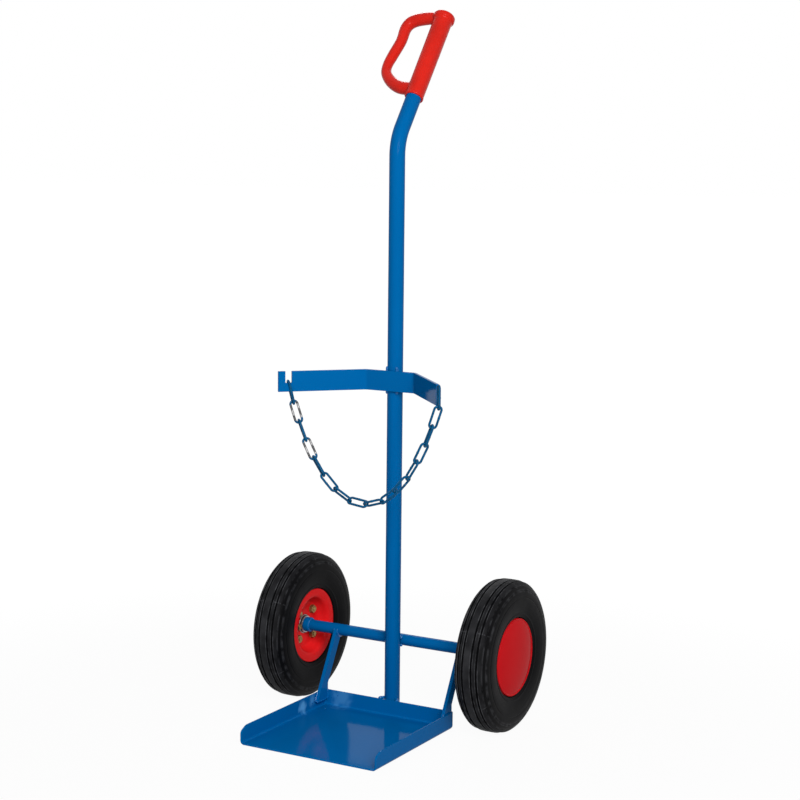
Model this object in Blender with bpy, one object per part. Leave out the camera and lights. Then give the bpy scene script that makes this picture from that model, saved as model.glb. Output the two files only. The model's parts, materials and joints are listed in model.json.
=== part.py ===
"""Gas cylinder cart: a one-tube hand cart with a load tray, pneumatic wheels, a cradle and a safety chain.

Metres, +Z up. X runs across the cart, the cart's front faces -Y. The origin is the middle of the tray's
underside, which stands on the floor together with the two tyres.
"""

import math

import bmesh
import bpy
from mathutils import Matrix, Vector

# Fits
WELD_GAP = 0.0003
FIT_GAP = 0.0003
LINK_GAP = 0.0004

# Load tray: a pan with three upstands
TRAY_WIDTH = 0.261
TRAY_DEPTH = 0.261
TRAY_SHEET = 0.003
UPSTAND_HEIGHT = 0.030
CHAMFER_LENGTH = 0.015
CHAMFER_HEIGHT = 0.0075

# Mast
MAST_DIAMETER = 0.0269
MAST_WALL = 0.0026
MAST_FOOT_HEIGHT = 0.004
MAST_BEND_HEIGHT = 0.993
MAST_BEND_ANGLE = math.radians(36.75)
MAST_BEND_RADIUS = 0.080
MAST_UPPER_LENGTH = 0.260
MAST_SIDES = 20
MAST_BEND_STEPS = 6

# Hand grip, measured along the bent tube from the crossing of its two straight axes
GRIP_START = 0.089
GRIP_END = 0.276
GRIP_DIAMETER = 0.032
GRIP_CAP_DIAMETER = 0.0386
GRIP_CAP_LENGTH = 0.018
GRIP_EDGE = 0.0015
# The closed end's cone, as shares of the cap's length from the tip and of its radius
GRIP_CAP_CONE = ((0.5, 1.0), (0.10, 0.40), (0.0, 0.20))
GUARD_REACH = 0.0755
GUARD_WAIST_REACH = 0.067
GUARD_BAR_RADIUS = 0.0085
GUARD_ROOT_RADIUS = 0.0105
GRIP_SIDES = 24
GUARD_SIDES = 10
GUARD_STEPS = 3
# The guard's middle line from one root to the other, as shares. Along it: of the grip's length from the root.
# Out from the axis: of the reach at that end. Thick: of the bar's radius.
GUARD_TOP_RUN = ((0.035, 0.82, 1.1), (0.12, 1.0, 1.0), (0.27, 1.0, 1.0))
GUARD_BOTTOM_RUN = ((0.27, 1.0, 0.92), (0.16, 0.92, 0.95), (0.06, 0.68, 1.1))
GUARD_MIDDLE = (0.45, 0.97, 1.0)
GUARD_TOP_ELBOW = 0.5
GUARD_BOTTOM_ELBOW = 0.4

# Axle and what sits on it
AXLE_DIAMETER = 0.020
AXLE_HEIGHT = 0.130
AXLE_END_MARGIN = 0.003
COLLAR_DIAMETER = 0.026
COLLAR_LENGTH = 0.010
WASHER_DIAMETER = 0.030
WASHER_THICKNESS = 0.002
COTTER_WIRE = 0.003
COTTER_EYE_RADIUS = 0.0034
COTTER_OVERHANG = 0.005
COTTER_EYE_TURN = math.radians(280.0)
COTTER_EYE_STEPS = 10
PIN_HOLE_SIDES = 10
ROUND_SIDES = 20

# Braces
BRACE_THICKNESS = 0.006
BRACE_FOOT_DEPTH = 0.0335
BRACE_FOOT_HEIGHT = 0.016
BRACE_KNEE_HEIGHT = 0.0425
BRACE_TOP_DEPTH = 0.016

# Cylinder cradle
BRACKET_HEIGHT = 0.035
BRACKET_CENTRE_HEIGHT = 0.588
BRACKET_SHEET = 0.005
BRACKET_MIDDLE_WIDTH = 0.0955
BRACKET_ARM_LENGTH = 0.1545
BRACKET_ARM_ANGLE = math.radians(47.0)
BRACKET_BEND_RADIUS = 0.010
BRACKET_BEND_STEPS = 4
SLOT_FROM_END = 0.018
SLOT_WIDTH = 0.0112
SLOT_DEPTH = 0.020

# Chain
LINK_COUNT = 14
LINK_PITCH = 0.0336
LINK_WIRE = 0.004
LINK_WIDTH = 0.016
LINK_BOW_STEPS = 5
END_LINK_INNER_LENGTH = 0.036
END_LINK_SEAT = 0.0012
END_LINK_LEAN = math.radians(14.0)
CHAIN_TWIST = math.radians(-90.0)

# Wheels
WHEEL_TRACK = 0.400
TYRE_WIDTH = 0.062
TYRE_CROWN = 0.010
TYRE_SIDEWALL = 0.0065
TYRE_BEAD_WIDTH = 0.008
TREAD_WIDTH = 0.046
# The grooves' places, as shares of half the tread from its middle
TREAD_GROOVE_PLACES = (0.74, 0.35, -0.35, -0.74)
TREAD_GROOVE_WIDTH = 0.0036
TREAD_GROOVE_DEPTH = 0.003
# The air tube's outside and inside, as shares of the room in the tyre
TUBE_FILL = 0.97
TUBE_AIR = 0.88
RIM_SEAT_DIAMETER = 0.102
RIM_LIP_DIAMETER = 0.132
RIM_WIDTH = 0.0418
RIM_SHEET = 0.002
RIM_WELL_DEPTH = 0.005
HUB_DIAMETER = 0.034
HUB_INNER_REACH = 0.003
HUB_OUTER_REACH = 0.017
BUSH_DIAMETER = 0.026
BUSH_LENGTH = 0.008
BUSH_FLANGE_DIAMETER = 0.032
BUSH_FLANGE = 0.0015
BOLT_COUNT = 4
BOLT_CIRCLE_DIAMETER = 0.065
BOLT_DIAMETER = 0.008
BOLT_HEAD_WIDTH = 0.013
BOLT_HEAD_HEIGHT = 0.0053
BOLT_NUT_HEIGHT = 0.0065
BOLT_TIP = 0.0025
BOLT_HOLE_SIDES = 8
VALVE_CLEARANCE = 0.0005
VALVE_DIAMETER = 0.0076
VALVE_TIP_RADIUS = 0.024
VALVE_BASE_REACH = 0.011
VALVE_SIDES = 12
VALVE_CAP_DIAMETER = 0.010
VALVE_CAP_LENGTH = 0.0105
VALVE_CAP_WALL = 0.002
COVER_SHEET = 0.0016
COVER_CLEARANCE = 0.0013
COVER_EDGE = 0.0048
# The cover's fall from its crown, as shares of its radius and of the crown's height
COVER_FALL = ((0.35, 0.1), (0.71, 0.4), (0.92, 0.75))
WHEEL_SIDES = 28

# Places that follow from the sizes
MAST_RADIUS = MAST_DIAMETER / 2
AXLE_RADIUS = AXLE_DIAMETER / 2
TRAY_BACK = TRAY_DEPTH / 2
MAST_Y = TRAY_BACK + WELD_GAP + MAST_RADIUS
AXLE_Y = MAST_Y + MAST_RADIUS + WELD_GAP + AXLE_RADIUS
WHEEL_X = WHEEL_TRACK / 2
TYRE_RADIUS = AXLE_HEIGHT
RIM_SEAT_RADIUS = RIM_SEAT_DIAMETER / 2
RIM_LIP_RADIUS = RIM_LIP_DIAMETER / 2
LIP_FACE = RIM_WIDTH / 2 + RIM_SHEET
LINK_INNER_LENGTH = LINK_PITCH + LINK_GAP
SIDES = {"left": -1, "right": 1}

# Where the pieces sit along the axle, outwards from the wheel's middle plane
BUSH_OUTER_FACE = HUB_OUTER_REACH + FIT_GAP + BUSH_FLANGE
OUTER_WASHER_START = BUSH_OUTER_FACE + FIT_GAP
COTTER_PLACE = OUTER_WASHER_START + WASHER_THICKNESS + FIT_GAP + COTTER_WIRE / 2
AXLE_END = COTTER_PLACE + COTTER_WIRE / 2 + AXLE_END_MARGIN
BUSH_INNER_FACE = -(HUB_INNER_REACH + FIT_GAP + BUSH_FLANGE)
INNER_WASHER_START = BUSH_INNER_FACE - FIT_GAP - WASHER_THICKNESS
COLLAR_START = INNER_WASHER_START - FIT_GAP - COLLAR_LENGTH
COVER_SEAT = LIP_FACE + FIT_GAP
COVER_TOP = AXLE_END + COVER_CLEARANCE + COVER_SHEET
VALVE_OFFSET = FIT_GAP / 2 + RIM_SHEET + VALVE_CLEARANCE + VALVE_CAP_DIAMETER / 2


def clear_scene():
    """Removes whatever the scene holds."""
    for old in list(bpy.data.objects):
        bpy.data.objects.remove(old, do_unlink=True)


def finish(name, colour, roughness, metallic=0.0):
    """A plain Principled material."""
    material = bpy.data.materials.new(name)
    material.use_nodes = True
    shader = material.node_tree.nodes["Principled BSDF"]
    shader.inputs["Base Color"].default_value = (*colour, 1.0)
    shader.inputs["Roughness"].default_value = roughness
    shader.inputs["Metallic"].default_value = metallic
    return material


def add_object(name, data, material, parent=None, matrix=None):
    """Links an object of this data, under its parent and at its own matrix."""
    thing = bpy.data.objects.new(name, data)
    bpy.context.scene.collection.objects.link(thing)
    if material is not None:
        data.materials.append(material)
    thing.parent = parent
    if matrix is not None:
        thing.matrix_local = matrix
    return thing


def add_empty(name, place, turn=0.0):
    """An empty on a joint's axis, turned about Z."""
    empty = bpy.data.objects.new(name, None)
    bpy.context.scene.collection.objects.link(empty)
    empty.matrix_local = Matrix.Translation(place) @ Matrix.Rotation(turn, 4, "Z")
    return empty


def to_mesh(name, shape, smooth_angle=math.radians(35)):
    """Turns a bmesh into a mesh with its faces out and its round stretches smooth."""
    bmesh.ops.recalc_face_normals(shape, faces=shape.faces[:])
    mesh = bpy.data.meshes.new(name)
    shape.to_mesh(mesh)
    shape.free()
    mesh.shade_smooth()
    mesh.set_sharp_from_angle(angle=smooth_angle)
    return mesh


def turned(name, profile, sides, ring=True):
    """Spins a profile of (x, radius) points about the X axis.

    A ring's profile closes on itself. Otherwise its two ends lie on the axis.
    """
    shape = bmesh.new()
    points = [shape.verts.new((x, 0.0, radius)) for x, radius in profile]
    edges = [shape.edges.new(pair) for pair in zip(points, points[1:])]
    if ring:
        edges.append(shape.edges.new((points[-1], points[0])))
    bmesh.ops.spin(
        shape,
        geom=points + edges,
        axis=(1, 0, 0),
        cent=(0, 0, 0),
        steps=sides,
        angle=math.tau,
        use_merge=True,
    )
    bmesh.ops.remove_doubles(shape, verts=shape.verts[:], dist=1e-6)
    return to_mesh(name, shape)


def bar(name, start, end, radius, sides=ROUND_SIDES):
    """A solid round bar along X."""
    return turned(name, [(start, 0.0), (start, radius), (end, radius), (end, 0.0)], sides, ring=False)


def sleeve(name, start, end, bore, radius, sides=ROUND_SIDES):
    """A plain ring along X."""
    return turned(name, [(start, bore), (start, radius), (end, radius), (end, bore)], sides)


def prism(name, outline, depth, axis):
    """Extrudes a flat outline by depth. The outline lies in YZ for axis X and in XY for axis Z."""
    shape = bmesh.new()
    if axis == "X":
        corners = [(-depth / 2, first, second) for first, second in outline]
        push = Vector((depth, 0, 0))
    else:
        corners = [(first, second, -depth / 2) for first, second in outline]
        push = Vector((0, 0, depth))
    face = shape.faces.new([shape.verts.new(corner) for corner in corners])
    grown = bmesh.ops.extrude_face_region(shape, geom=[face])
    moved = [item for item in grown["geom"] if isinstance(item, bmesh.types.BMVert)]
    bmesh.ops.translate(shape, verts=moved, vec=push)
    return to_mesh(name, shape)


def box(name, low, high):
    """A box between two corners."""
    outline = [(low[0], low[1]), (high[0], low[1]), (high[0], high[1]), (low[0], high[1])]
    mesh = prism(name, outline, high[2] - low[2], "Z")
    mesh.transform(Matrix.Translation((0, 0, (low[2] + high[2]) / 2)))
    return mesh


def swept(name, path, radii, across, sides, bore_radius=None):
    """A round bar or pipe along a flat path. across is the path plane's normal."""
    shape = bmesh.new()
    across = Vector(across)

    def rings(radius_of):
        made = []
        for index, point in enumerate(path):
            before = path[max(index - 1, 0)]
            after = path[min(index + 1, len(path) - 1)]
            along = (after - before).normalized()
            normal = along.cross(across)
            ring = []
            for side in range(sides):
                angle = math.tau * side / sides
                offset = normal * math.cos(angle) + across * math.sin(angle)
                ring.append(shape.verts.new(point + offset * radius_of(index)))
            made.append(ring)
        for ring, following in zip(made, made[1:]):
            for side in range(sides):
                turn = (side + 1) % sides
                shape.faces.new((ring[side], ring[turn], following[turn], following[side]))
        return made

    outer = rings(lambda index: radii[index])
    if bore_radius is None:
        shape.faces.new(outer[0])
        shape.faces.new(outer[-1])
    else:
        inner = rings(lambda index: bore_radius)
        for outside, inside in ((outer[0], inner[0]), (outer[-1], inner[-1])):
            for side in range(sides):
                turn = (side + 1) % sides
                shape.faces.new((outside[side], outside[turn], inside[turn], inside[side]))
    return to_mesh(name, shape)


def smooth_path(points, steps):
    """A smooth curve of points, as vectors of any length, through the given ones."""
    padded = [points[0] * 2 - points[1], *points, points[-1] * 2 - points[-2]]
    curve = []
    for index in range(len(points) - 1):
        before, start, end, after = padded[index : index + 4]
        for step in range(steps):
            share = step / steps
            curve.append(
                (
                    start * 2
                    + (end - before) * share
                    + (before * 2 - start * 5 + end * 4 - after) * share**2
                    + (start * 3 - before - end * 3 + after) * share**3
                )
                * 0.5
            )
    return [*curve, points[-1]]


def combine(thing, other, operation):
    """A Boolean with a helper object, which stays out of the model."""
    other.hide_render = True
    other.display_type = "WIRE"
    modifier = thing.modifiers.new(other.name, "BOOLEAN")
    modifier.operation = operation
    modifier.solver = "EXACT"
    modifier.object = other


def add_tray(paint):
    """The pan, with the front top corners of its side upstands cut off."""
    front, top = -TRAY_BACK, UPSTAND_HEIGHT
    side_view = [
        (front, 0.0),
        (TRAY_BACK, 0.0),
        (TRAY_BACK, top),
        (front + CHAMFER_LENGTH, top),
        (front, top - CHAMFER_HEIGHT),
    ]
    tray = add_object("load_tray", prism("load_tray", side_view, TRAY_WIDTH, "X"), paint)
    inside = TRAY_WIDTH / 2 - TRAY_SHEET
    low = (-inside, front - TRAY_SHEET, TRAY_SHEET)
    high = (inside, TRAY_BACK - TRAY_SHEET, top + TRAY_SHEET)
    combine(tray, add_object("tray_hollow", box("tray_hollow", low, high), None), "DIFFERENCE")


def mast_direction():
    """The direction of the bent upper end, back and up."""
    return Vector((0, math.sin(MAST_BEND_ANGLE), math.cos(MAST_BEND_ANGLE)))


def mast_corner():
    """Where the axes of the mast's two straight runs cross."""
    return Vector((0, MAST_Y, MAST_BEND_HEIGHT))


def add_mast(paint):
    """The tube: a straight run, an arc and the bent upper end. Both ends are open."""
    tangent = MAST_BEND_RADIUS * math.tan(MAST_BEND_ANGLE / 2)
    centre = mast_corner() + Vector((0, MAST_BEND_RADIUS, -tangent))
    path = [Vector((0, MAST_Y, MAST_FOOT_HEIGHT))]
    for step in range(MAST_BEND_STEPS + 1):
        angle = MAST_BEND_ANGLE * step / MAST_BEND_STEPS
        arm = Vector((0, -math.cos(angle), math.sin(angle)))
        path.append(centre + arm * MAST_BEND_RADIUS)
    path.append(mast_corner() + mast_direction() * MAST_UPPER_LENGTH)
    radii = [MAST_RADIUS] * len(path)
    bore = MAST_RADIUS - MAST_WALL
    mesh = swept("mast_tube", path, radii, (1, 0, 0), MAST_SIDES, bore)
    add_object("mast_tube", mesh, paint)


def guard_stations():
    """The guard's middle line as (along the grip, out from its axis, bar radius), from top to bottom."""
    length = GRIP_END - GRIP_START
    top = GRIP_END - GUARD_ROOT_RADIUS - GRIP_EDGE
    bottom = GRIP_START + GUARD_ROOT_RADIUS + 2 * GRIP_EDGE
    bar_radius = GUARD_BAR_RADIUS
    stations = [(top, 0.0, GUARD_ROOT_RADIUS)]
    stations.append((top, GUARD_TOP_ELBOW * GUARD_WAIST_REACH, GUARD_ROOT_RADIUS))
    for along, out, thick in GUARD_TOP_RUN:
        stations.append((top - along * length, out * GUARD_WAIST_REACH, thick * bar_radius))
    along, out, thick = GUARD_MIDDLE
    stations.append((top - along * length, out * GUARD_REACH, thick * bar_radius))
    for along, out, thick in GUARD_BOTTOM_RUN:
        stations.append((bottom + along * length, out * GUARD_REACH, thick * bar_radius))
    stations.append((bottom, GUARD_BOTTOM_ELBOW * GUARD_REACH, GUARD_ROOT_RADIUS))
    stations.append((bottom, 0.0, GUARD_ROOT_RADIUS))
    return stations


def add_grip(plastic):
    """The hand grip: a sleeve with a closed, thicker end and a guard that loops to the left."""
    along = mast_direction()
    reach = Vector((-1, 0, 0))
    frame = Matrix.Identity(4)
    for column, axis in enumerate((along, reach, along.cross(reach))):
        frame.col[column][:3] = axis
    frame.translation = mast_corner()
    radius, cap_radius = GRIP_DIAMETER / 2, GRIP_CAP_DIAMETER / 2
    cap_start = GRIP_END - GRIP_CAP_LENGTH
    profile = [
        (GRIP_START, 0.0),
        (GRIP_START, radius - GRIP_EDGE),
        (GRIP_START + GRIP_EDGE, radius),
        (cap_start, radius),
        (cap_start + 2 * GRIP_EDGE, cap_radius),
        *((GRIP_END - back * GRIP_CAP_LENGTH, share * cap_radius) for back, share in GRIP_CAP_CONE),
        (GRIP_END, 0.0),
    ]
    grip = add_object("d_grip", turned("d_grip", profile, GRIP_SIDES, ring=False), plastic, matrix=frame)

    curve = smooth_path([Vector(station) for station in guard_stations()], GUARD_STEPS)
    path = [Vector((point.x, point.y, 0)) for point in curve]
    guard_mesh = swept("grip_guard", path, [point.z for point in curve], (0, 0, 1), GUARD_SIDES)
    combine(grip, add_object("grip_guard", guard_mesh, None, matrix=frame), "UNION")
    bore_end = MAST_UPPER_LENGTH + FIT_GAP
    bore_mesh = bar("grip_bore", GRIP_START - radius, bore_end, MAST_RADIUS + FIT_GAP, GRIP_SIDES)
    combine(grip, add_object("grip_bore", bore_mesh, None, matrix=frame), "DIFFERENCE")


def upright_at(place):
    """A matrix that turns a bar along X to stand along Z at a place."""
    return Matrix.Translation(place) @ Matrix.Rotation(-math.pi / 2, 4, "Y")


def add_axle(paint, steel):
    """The axle with its pin holes, its collars, its washers and its cotter pins."""
    half = WHEEL_X + AXLE_END
    axle_place = Vector((0, AXLE_Y, AXLE_HEIGHT))
    axle = add_object(
        "axle_bar", bar("axle_bar", -half, half, AXLE_RADIUS), paint, matrix=Matrix.Translation(axle_place)
    )
    hole_radius = COTTER_WIRE / 2 + FIT_GAP
    bore = AXLE_RADIUS + FIT_GAP
    rings = {
        "axle_collar": (COLLAR_START, COLLAR_LENGTH, COLLAR_DIAMETER, paint),
        "inner_washer": (INNER_WASHER_START, WASHER_THICKNESS, WASHER_DIAMETER, steel),
        "outer_washer": (OUTER_WASHER_START, WASHER_THICKNESS, WASHER_DIAMETER, steel),
    }
    for side, sign in SIDES.items():
        for name, (start, length, diameter, material) in rings.items():
            places = sorted((sign * (WHEEL_X + start), sign * (WHEEL_X + start + length)))
            mesh = sleeve(f"{side}_{name}", *places, bore, diameter / 2)
            add_object(f"{side}_{name}", mesh, material, matrix=Matrix.Translation(axle_place))
        pin_place = axle_place + Vector((sign * (WHEEL_X + COTTER_PLACE), 0, 0))
        hole_mesh = bar(f"{side}_pin_hole", -AXLE_DIAMETER, AXLE_DIAMETER, hole_radius, PIN_HOLE_SIDES)
        hole = add_object(f"{side}_pin_hole", hole_mesh, None, matrix=upright_at(pin_place))
        combine(axle, hole, "DIFFERENCE")
        add_cotter_pin(f"{side}_cotter_pin", pin_place, steel)


def add_cotter_pin(name, place, steel):
    """A wire pin through the axle, with an eye above it."""
    top = AXLE_RADIUS + COTTER_EYE_RADIUS + COTTER_WIRE / 2 + FIT_GAP
    points = [Vector((0, 0, -AXLE_RADIUS - COTTER_OVERHANG)), Vector((0, 0, top))]
    for step in range(1, COTTER_EYE_STEPS + 1):
        angle = COTTER_EYE_TURN * step / COTTER_EYE_STEPS
        sideways = COTTER_EYE_RADIUS * (1 - math.cos(angle))
        points.append(Vector((0, sideways, top + COTTER_EYE_RADIUS * math.sin(angle))))
    add_object(name, wire(name, points, COTTER_WIRE, closed=False), steel, matrix=Matrix.Translation(place))


def wire(name, points, diameter, closed):
    """A round wire through the points, as a bevelled curve with filled ends."""
    curve = bpy.data.curves.new(name, "CURVE")
    curve.dimensions = "3D"
    curve.bevel_depth = diameter / 2
    curve.bevel_resolution = 2
    curve.use_fill_caps = not closed
    spline = curve.splines.new("POLY")
    spline.points.add(len(points) - 1)
    for slot, point in zip(spline.points, points):
        slot.co = (*point, 1.0)
    spline.use_cyclic_u = closed
    return curve


def add_braces(paint):
    """The flat bars from the inside of the pan's back corners to the axle."""
    back = TRAY_BACK - TRAY_SHEET - WELD_GAP
    outline = [
        (back - BRACE_FOOT_DEPTH, BRACE_FOOT_HEIGHT),
        (back, BRACE_FOOT_HEIGHT),
        (back, BRACE_KNEE_HEIGHT),
        (AXLE_Y + BRACE_TOP_DEPTH / 4, AXLE_HEIGHT - AXLE_RADIUS / 2),
        (AXLE_Y - BRACE_TOP_DEPTH * 3 / 4, AXLE_HEIGHT + AXLE_RADIUS / 4),
    ]
    across = TRAY_WIDTH / 2 - TRAY_SHEET - WELD_GAP - BRACE_THICKNESS / 2
    seat_mesh = bar("brace_seat", -TRAY_WIDTH, TRAY_WIDTH, AXLE_RADIUS + WELD_GAP, ROUND_SIDES)
    seat = add_object("brace_seat", seat_mesh, None, matrix=Matrix.Translation((0, AXLE_Y, AXLE_HEIGHT)))
    for side, sign in SIDES.items():
        mesh = prism(f"{side}_brace", outline, BRACE_THICKNESS, "X")
        place = Matrix.Translation((sign * across, 0, 0))
        combine(add_object(f"{side}_brace", mesh, paint, matrix=place), seat, "DIFFERENCE")


def arm_direction(sign):
    """The direction of a cradle arm, outwards and to the front."""
    return Vector((sign * math.cos(BRACKET_ARM_ANGLE), -math.sin(BRACKET_ARM_ANGLE), 0))


def bracket_corner(sign):
    """Where the middle lines of the cradle's middle and arm cross, at half height."""
    middle_y = MAST_Y - MAST_RADIUS - WELD_GAP - BRACKET_SHEET / 2
    return Vector((sign * BRACKET_MIDDLE_WIDTH / 2, middle_y, BRACKET_CENTRE_HEIGHT))


def arm_end(sign):
    """The middle of an arm's end face."""
    return bracket_corner(sign) + arm_direction(sign) * BRACKET_ARM_LENGTH


def bracket_line():
    """The cradle's middle line in plan, with its two rounded bends."""
    tangent = BRACKET_BEND_RADIUS * math.tan(BRACKET_ARM_ANGLE / 2)
    right = [arm_end(1)]
    corner = bracket_corner(1)
    centre = corner + Vector((-tangent, -BRACKET_BEND_RADIUS, 0))
    for step in range(BRACKET_BEND_STEPS + 1):
        angle = BRACKET_ARM_ANGLE * (1 - step / BRACKET_BEND_STEPS)
        right.append(centre + Vector((math.sin(angle), math.cos(angle), 0)) * BRACKET_BEND_RADIUS)
    left = [Vector((-point.x, point.y, point.z)) for point in reversed(right)]
    return right + left


def add_bracket(paint):
    """The cradle: a bent flat bar with an open slot in its left arm."""
    line = bracket_line()
    inner, outer = [], []
    for index, point in enumerate(line):
        before, after = line[max(index - 1, 0)], line[min(index + 1, len(line) - 1)]
        along = (after - before).normalized()
        side = Vector((-along.y, along.x, 0)) * (BRACKET_SHEET / 2)
        inner.append((point + side).xy)
        outer.append((point - side).xy)
    outline = [tuple(point) for point in inner + outer[::-1]]
    height = Matrix.Translation((0, 0, BRACKET_CENTRE_HEIGHT))
    mesh = prism("holder_bracket", outline, BRACKET_HEIGHT, "Z")
    bracket = add_object("holder_bracket", mesh, paint, matrix=height)
    low = (-SLOT_WIDTH / 2, -BRACKET_SHEET, 0.0)
    high = (SLOT_WIDTH / 2, BRACKET_SHEET, SLOT_DEPTH + BRACKET_SHEET)
    turn = Matrix.Rotation(math.atan2(arm_direction(-1).y, arm_direction(-1).x), 4, "Z")
    slot = add_object("bracket_slot", box("bracket_slot", low, high), None)
    slot.matrix_local = Matrix.Translation(slot_bottom()) @ turn
    combine(bracket, slot, "DIFFERENCE")


def slot_bottom():
    """The middle of the slot's bottom, in the middle of the sheet."""
    place = arm_end(-1) - arm_direction(-1) * SLOT_FROM_END
    place.z = BRACKET_CENTRE_HEIGHT + BRACKET_HEIGHT / 2 - SLOT_DEPTH
    return place


def link_wire(name, inner_length):
    """A closed link along X in the XY plane. Its inner ends lie half a gap before 0 and past the other end.

    Its bows are drawn round the true arc, with a flat at the crown for the next link to lie on.
    """
    radius = (LINK_WIDTH - LINK_WIRE) / 2
    corner_radius = radius / math.cos(math.pi / (2 * LINK_BOW_STEPS))
    bow_reach = inner_length / 2 + LINK_WIRE / 2 - radius
    middle = (inner_length - LINK_GAP) / 2
    points = []
    for end in (1, -1):
        points.append(Vector((middle + end * bow_reach, -end * radius, 0)))
        for step in range(1, LINK_BOW_STEPS):
            angle = math.pi * (step / LINK_BOW_STEPS - 0.5)
            out = Vector((math.cos(angle), math.sin(angle), 0)) * end * corner_radius
            points.append(Vector((middle + end * bow_reach, 0, 0)) + out)
        points.append(Vector((middle + end * bow_reach, end * radius, 0)))
    return wire(name, points, LINK_WIRE, closed=True)


def link_frame(start, end, face):
    """A link's matrix: X from its start to its end, Z as near to the direction face as it can be."""
    along = (end - start).normalized()
    normal = (face - along * face.dot(along)).normalized()
    frame = Matrix.Identity(4)
    for column, axis in enumerate((along, normal.cross(along), normal)):
        frame.col[column][:3] = axis
    frame.translation = start
    return frame


def hanging_line(start, end, pitch, count):
    """The joints of a chain of equal straight links that hangs between two points.

    Each link's slope grows by the same step from one link to the next, as the weight on it does. The two
    unknowns are the step and the link at which the slope is level.
    """
    flat = Vector((end.x - start.x, end.y - start.y, 0))
    span, rise = flat.length, end.z - start.z

    def slopes(step, level):
        return [math.atan(step * (index - level)) for index in range(count)]

    def halved(low, high, too_low):
        for _ in range(60):
            middle = (low + high) / 2
            low, high = (middle, high) if too_low(middle) else (low, middle)
        return (low + high) / 2

    def level_for(step):
        def too_high_end(level):
            return sum(math.sin(angle) for angle in slopes(step, level)) * pitch > rise

        return halved(-count, 2 * count, too_high_end)

    def too_wide(step):
        return sum(math.cos(angle) for angle in slopes(step, level_for(step))) * pitch > span

    step = halved(1e-4, 10.0, too_wide)
    onward = flat.normalized()
    points = [start.copy()]
    for angle in slopes(step, level_for(step)):
        along = onward * math.cos(angle) + Vector((0, 0, math.sin(angle)))
        points.append(points[-1] + along * pitch)
    return points


def chain_ends():
    """Where the chain hangs on its anchor link and on its end link, with the matrices of those two."""
    down = Vector((0, 0, -1))
    anchor_top = arm_end(1) + arm_direction(1) * (LINK_WIDTH / 2 + WELD_GAP)
    anchor_top.z = BRACKET_CENTRE_HEIGHT + BRACKET_HEIGHT / 2 - LINK_WIRE
    anchor_end = anchor_top + down * LINK_PITCH
    anchor = link_frame(anchor_top, anchor_end, down.cross(arm_direction(1)))
    end_top = slot_bottom() + Vector((0, 0, END_LINK_SEAT))
    lean = -arm_direction(-1) * math.sin(END_LINK_LEAN) + down * math.cos(END_LINK_LEAN)
    end_low = end_top + lean * (END_LINK_INNER_LENGTH - LINK_GAP)
    return anchor_end, anchor, end_low, link_frame(end_top, end_low, arm_direction(-1))


def add_chain(paint):
    """The chain from its welded anchor link to the link in the slot, with a quarter turn about its line."""
    anchor_end, anchor, end_low, end_link = chain_ends()
    add_object("chain_anchor_link", link_wire("chain_anchor_link", LINK_INNER_LENGTH), paint, matrix=anchor)
    add_object("chain_end_link", link_wire("chain_end_link", END_LINK_INNER_LENGTH), paint, matrix=end_link)
    joints = hanging_line(anchor_end, end_low, LINK_PITCH, LINK_COUNT)
    facing = arm_direction(1)
    shared = link_wire("chain_link", LINK_INNER_LENGTH)
    shared.materials.append(paint)
    for index, (start, end) in enumerate(zip(joints, joints[1:])):
        share = index / (LINK_COUNT - 1)
        roll = index * math.pi / 2 + CHAIN_TWIST * (1 - math.cos(math.pi * share)) / 2
        frame = link_frame(start, end, facing) @ Matrix.Rotation(roll, 4, "X")
        add_object(f"chain_link_{index + 1:02d}", shared, None, matrix=frame)


def tyre_room():
    """One side of the tyre's inside as (across, radius) points, from the bead to the crown."""
    half = TYRE_WIDTH / 2 - TYRE_SIDEWALL
    bead_toe = RIM_WIDTH / 2 - FIT_GAP - TYRE_BEAD_WIDTH
    ledge, belly = tyre_heights()
    return [
        (bead_toe, RIM_SEAT_RADIUS + FIT_GAP),
        (bead_toe, ledge - TYRE_CROWN / 2),
        (half - TYRE_CROWN / 6, (belly + ledge) / 2),
        (half, belly),
        (half - TYRE_CROWN / 2, (belly + TYRE_RADIUS) / 2),
    ]


def tyre_heights():
    """The radii of the ledge that lies on the rim's lip and of the widest place."""
    ledge = RIM_LIP_RADIUS + 2 * FIT_GAP
    return ledge, (TYRE_RADIUS + ledge) / 2


def tyre_profile():
    """The tyre's section as (across, radius) points: grooved tread, sidewalls, beads and the inside."""
    half, tread = TYRE_WIDTH / 2, TREAD_WIDTH / 2
    bead_side = RIM_WIDTH / 2 - FIT_GAP
    ledge, belly = tyre_heights()
    shoulder_drop = TYRE_CROWN / 4
    flank = [
        (half - TYRE_CROWN / 5, (belly + TYRE_RADIUS) / 2),
        (half, belly),
        (half - TYRE_CROWN / 6, (belly + ledge) / 2),
        ((half + LIP_FACE) / 2, ledge + TYRE_CROWN / 5),
        (bead_side, ledge),
        (bead_side, RIM_SEAT_RADIUS + FIT_GAP),
        *tyre_room(),
    ]
    crown = [(tread, TYRE_RADIUS - shoulder_drop)]
    for place in TREAD_GROOVE_PLACES:
        middle = tread * place
        surface = TYRE_RADIUS - shoulder_drop * place**2
        edge = TREAD_GROOVE_WIDTH / 2
        bottom = surface - TREAD_GROOVE_DEPTH
        crown += [(middle + edge, surface), (middle, bottom), (middle - edge, surface)]
    crown.append((-tread, TYRE_RADIUS - shoulder_drop))
    mirrored = [(-across, radius) for across, radius in flank]
    return crown + mirrored + [(0.0, TYRE_RADIUS - TYRE_CROWN)] + flank[::-1]


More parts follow.
